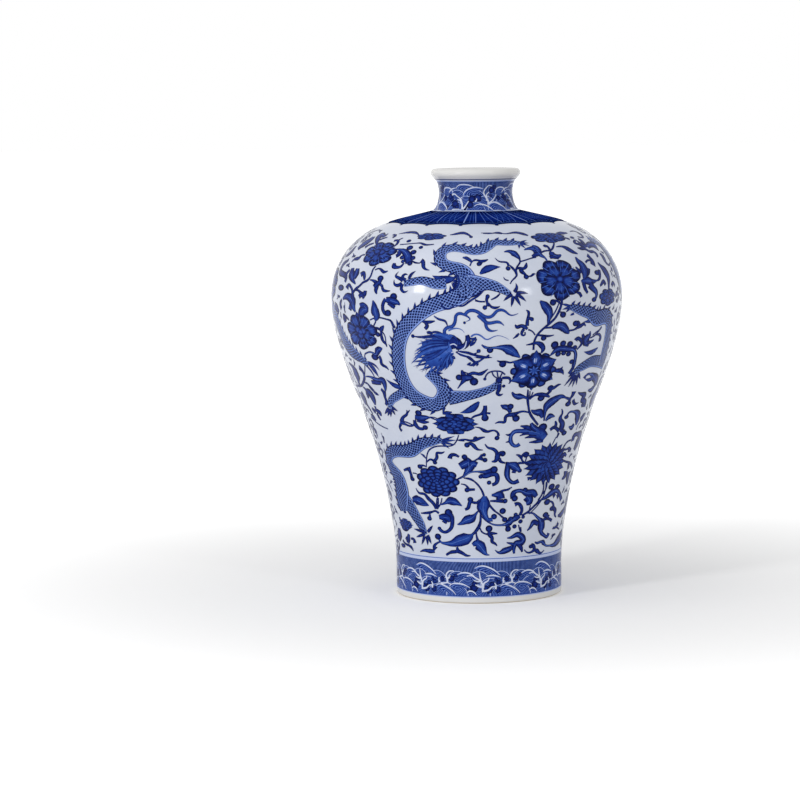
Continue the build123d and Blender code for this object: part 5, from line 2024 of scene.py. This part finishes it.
class VASE_OT_stage(bpy.types.Operator):
    """Sets the floor, the backdrop, the lamps and the photograph's camera"""

    bl_idname = "vase.stage"
    bl_label = "Stage"

    def execute(self, context):
        scene = context.scene
        scene.view_settings.view_transform = "Standard"
        self.set_floor(scene)
        self.set_backdrop(scene)
        self.set_lamps(scene)
        self.set_camera(scene)
        return {"FINISHED"}

    def set_floor(self, scene):
        """White paper. The camera sees it lifted to white, less so near the vase, where its shadow stays."""
        far = FLOOR_REACH
        mesh = bpy.data.meshes.new("floor")
        mesh.from_pydata([(-far, -far, 0), (far, -far, 0), (far, far, 0), (-far, far, 0)], [], [(0, 1, 2, 3)])
        finish = Finish("paper_floor")
        place = finish.add("ShaderNodeTexCoord", output=3)
        reach = finish.add("ShaderNodeVectorMath", {"operation": "LENGTH"}, (place,), output=1)
        seen = sum((finish.add("ShaderNodeLightPath", output=ray) for ray in SEEN_RAYS), 0.0)
        lift = seen * (reach.ease(*FLOOR_LIFTED) * FLOOR_LIFTS[1] + FLOOR_LIFTS[0])
        mesh.materials.append(finish.surface(
            Base_Color=(0.9, 0.9, 0.9),
            Roughness=0.9,
            Specular_IOR_Level=0.0,
            Emission_Color=finish.blend(lift, (0, 0, 0), WHITE),
            Emission_Strength=1.0,
        ))
        floor = bpy.data.objects.new("floor", mesh)
        scene.collection.objects.link(floor)

    def set_backdrop(self, scene):
        """The world: an even room light on the vase, and plain white where it is seen or mirrored."""
        world = bpy.data.worlds.new("studio")
        nodes = Nodes(world)
        seen = nodes.add("ShaderNodeLightPath", output=SEEN_RAYS[0])
        for ray in SEEN_RAYS[1:]:
            seen = seen.math("MAXIMUM", nodes.add("ShaderNodeLightPath", output=ray))
        room = nodes.add("ShaderNodeBackground", inputs=(WHITE, ROOM_LIGHT))
        paper = nodes.add("ShaderNodeBackground", inputs=(WHITE, 1.0))
        either = nodes.add("ShaderNodeMixShader", inputs=(seen, room, paper))
        nodes.feed(nodes.tree.nodes["World Output"].inputs["Surface"], either)
        scene.world = world

    def set_lamps(self, scene):
        for name, place, aim, width, height, power in LAMPS:
            lamp = bpy.data.lights.new(name, "AREA")
            lamp.shape = "RECTANGLE"
            lamp.size, lamp.size_y, lamp.energy = width, height, power
            box = bpy.data.objects.new(name, lamp)
            scene.collection.objects.link(box)
            box.location = place
            box.rotation_euler = (Vector(aim) - box.location).to_track_quat("-Z", "Y").to_euler()

    def set_camera(self, scene):
        camera = bpy.data.cameras.new("camera")
        camera.sensor_width = SENSOR_WIDTH
        camera.lens = CAMERA_FOCAL / IMAGE_SIZE * SENSOR_WIDTH
        camera.clip_end = 50.0
        seat = bpy.data.objects.new("camera", camera)
        scene.collection.objects.link(seat)
        seat.matrix_world = Matrix.Translation([c * MM for c in CAMERA_PLACE]) @ camera_turn()
        scene.camera = seat


class VASE_PT_panel(bpy.types.Panel):
    """Lists the steps of making the vase"""

    bl_label = "Meiping vase"
    bl_space_type = "VIEW_3D"
    bl_region_type = "UI"
    bl_category = "Vase"

    def draw(self, context):
        for operator in OPERATORS:
            self.layout.operator(operator.bl_idname)
        for group in (context.scene.vase_sizes, context.scene.vase_colours):
            for key in group.__annotations__:
                self.layout.prop(group, key)


OPERATORS = (
    VASE_OT_sections, VASE_OT_ring_lines, VASE_OT_waves, VASE_OT_collar, VASE_OT_scroll, VASE_OT_blooms,
    VASE_OT_dragons, VASE_OT_sprigs, VASE_OT_stage,
)
CLASSES = (VaseSizes, VaseColours, *OPERATORS, VASE_PT_panel)


def register():
    for item in CLASSES:
        bpy.utils.register_class(item)
    bpy.types.Scene.vase_sizes = bpy.props.PointerProperty(type=VaseSizes)
    bpy.types.Scene.vase_colours = bpy.props.PointerProperty(type=VaseColours)


def unregister():
    del bpy.types.Scene.vase_colours
    del bpy.types.Scene.vase_sizes
    for item in reversed(CLASSES):
        bpy.utils.unregister_class(item)


def main():
    register()
    for operator in OPERATORS:
        getattr(bpy.ops.vase, operator.bl_idname.split(".")[1])()


if __name__ == "__main__":
    main()
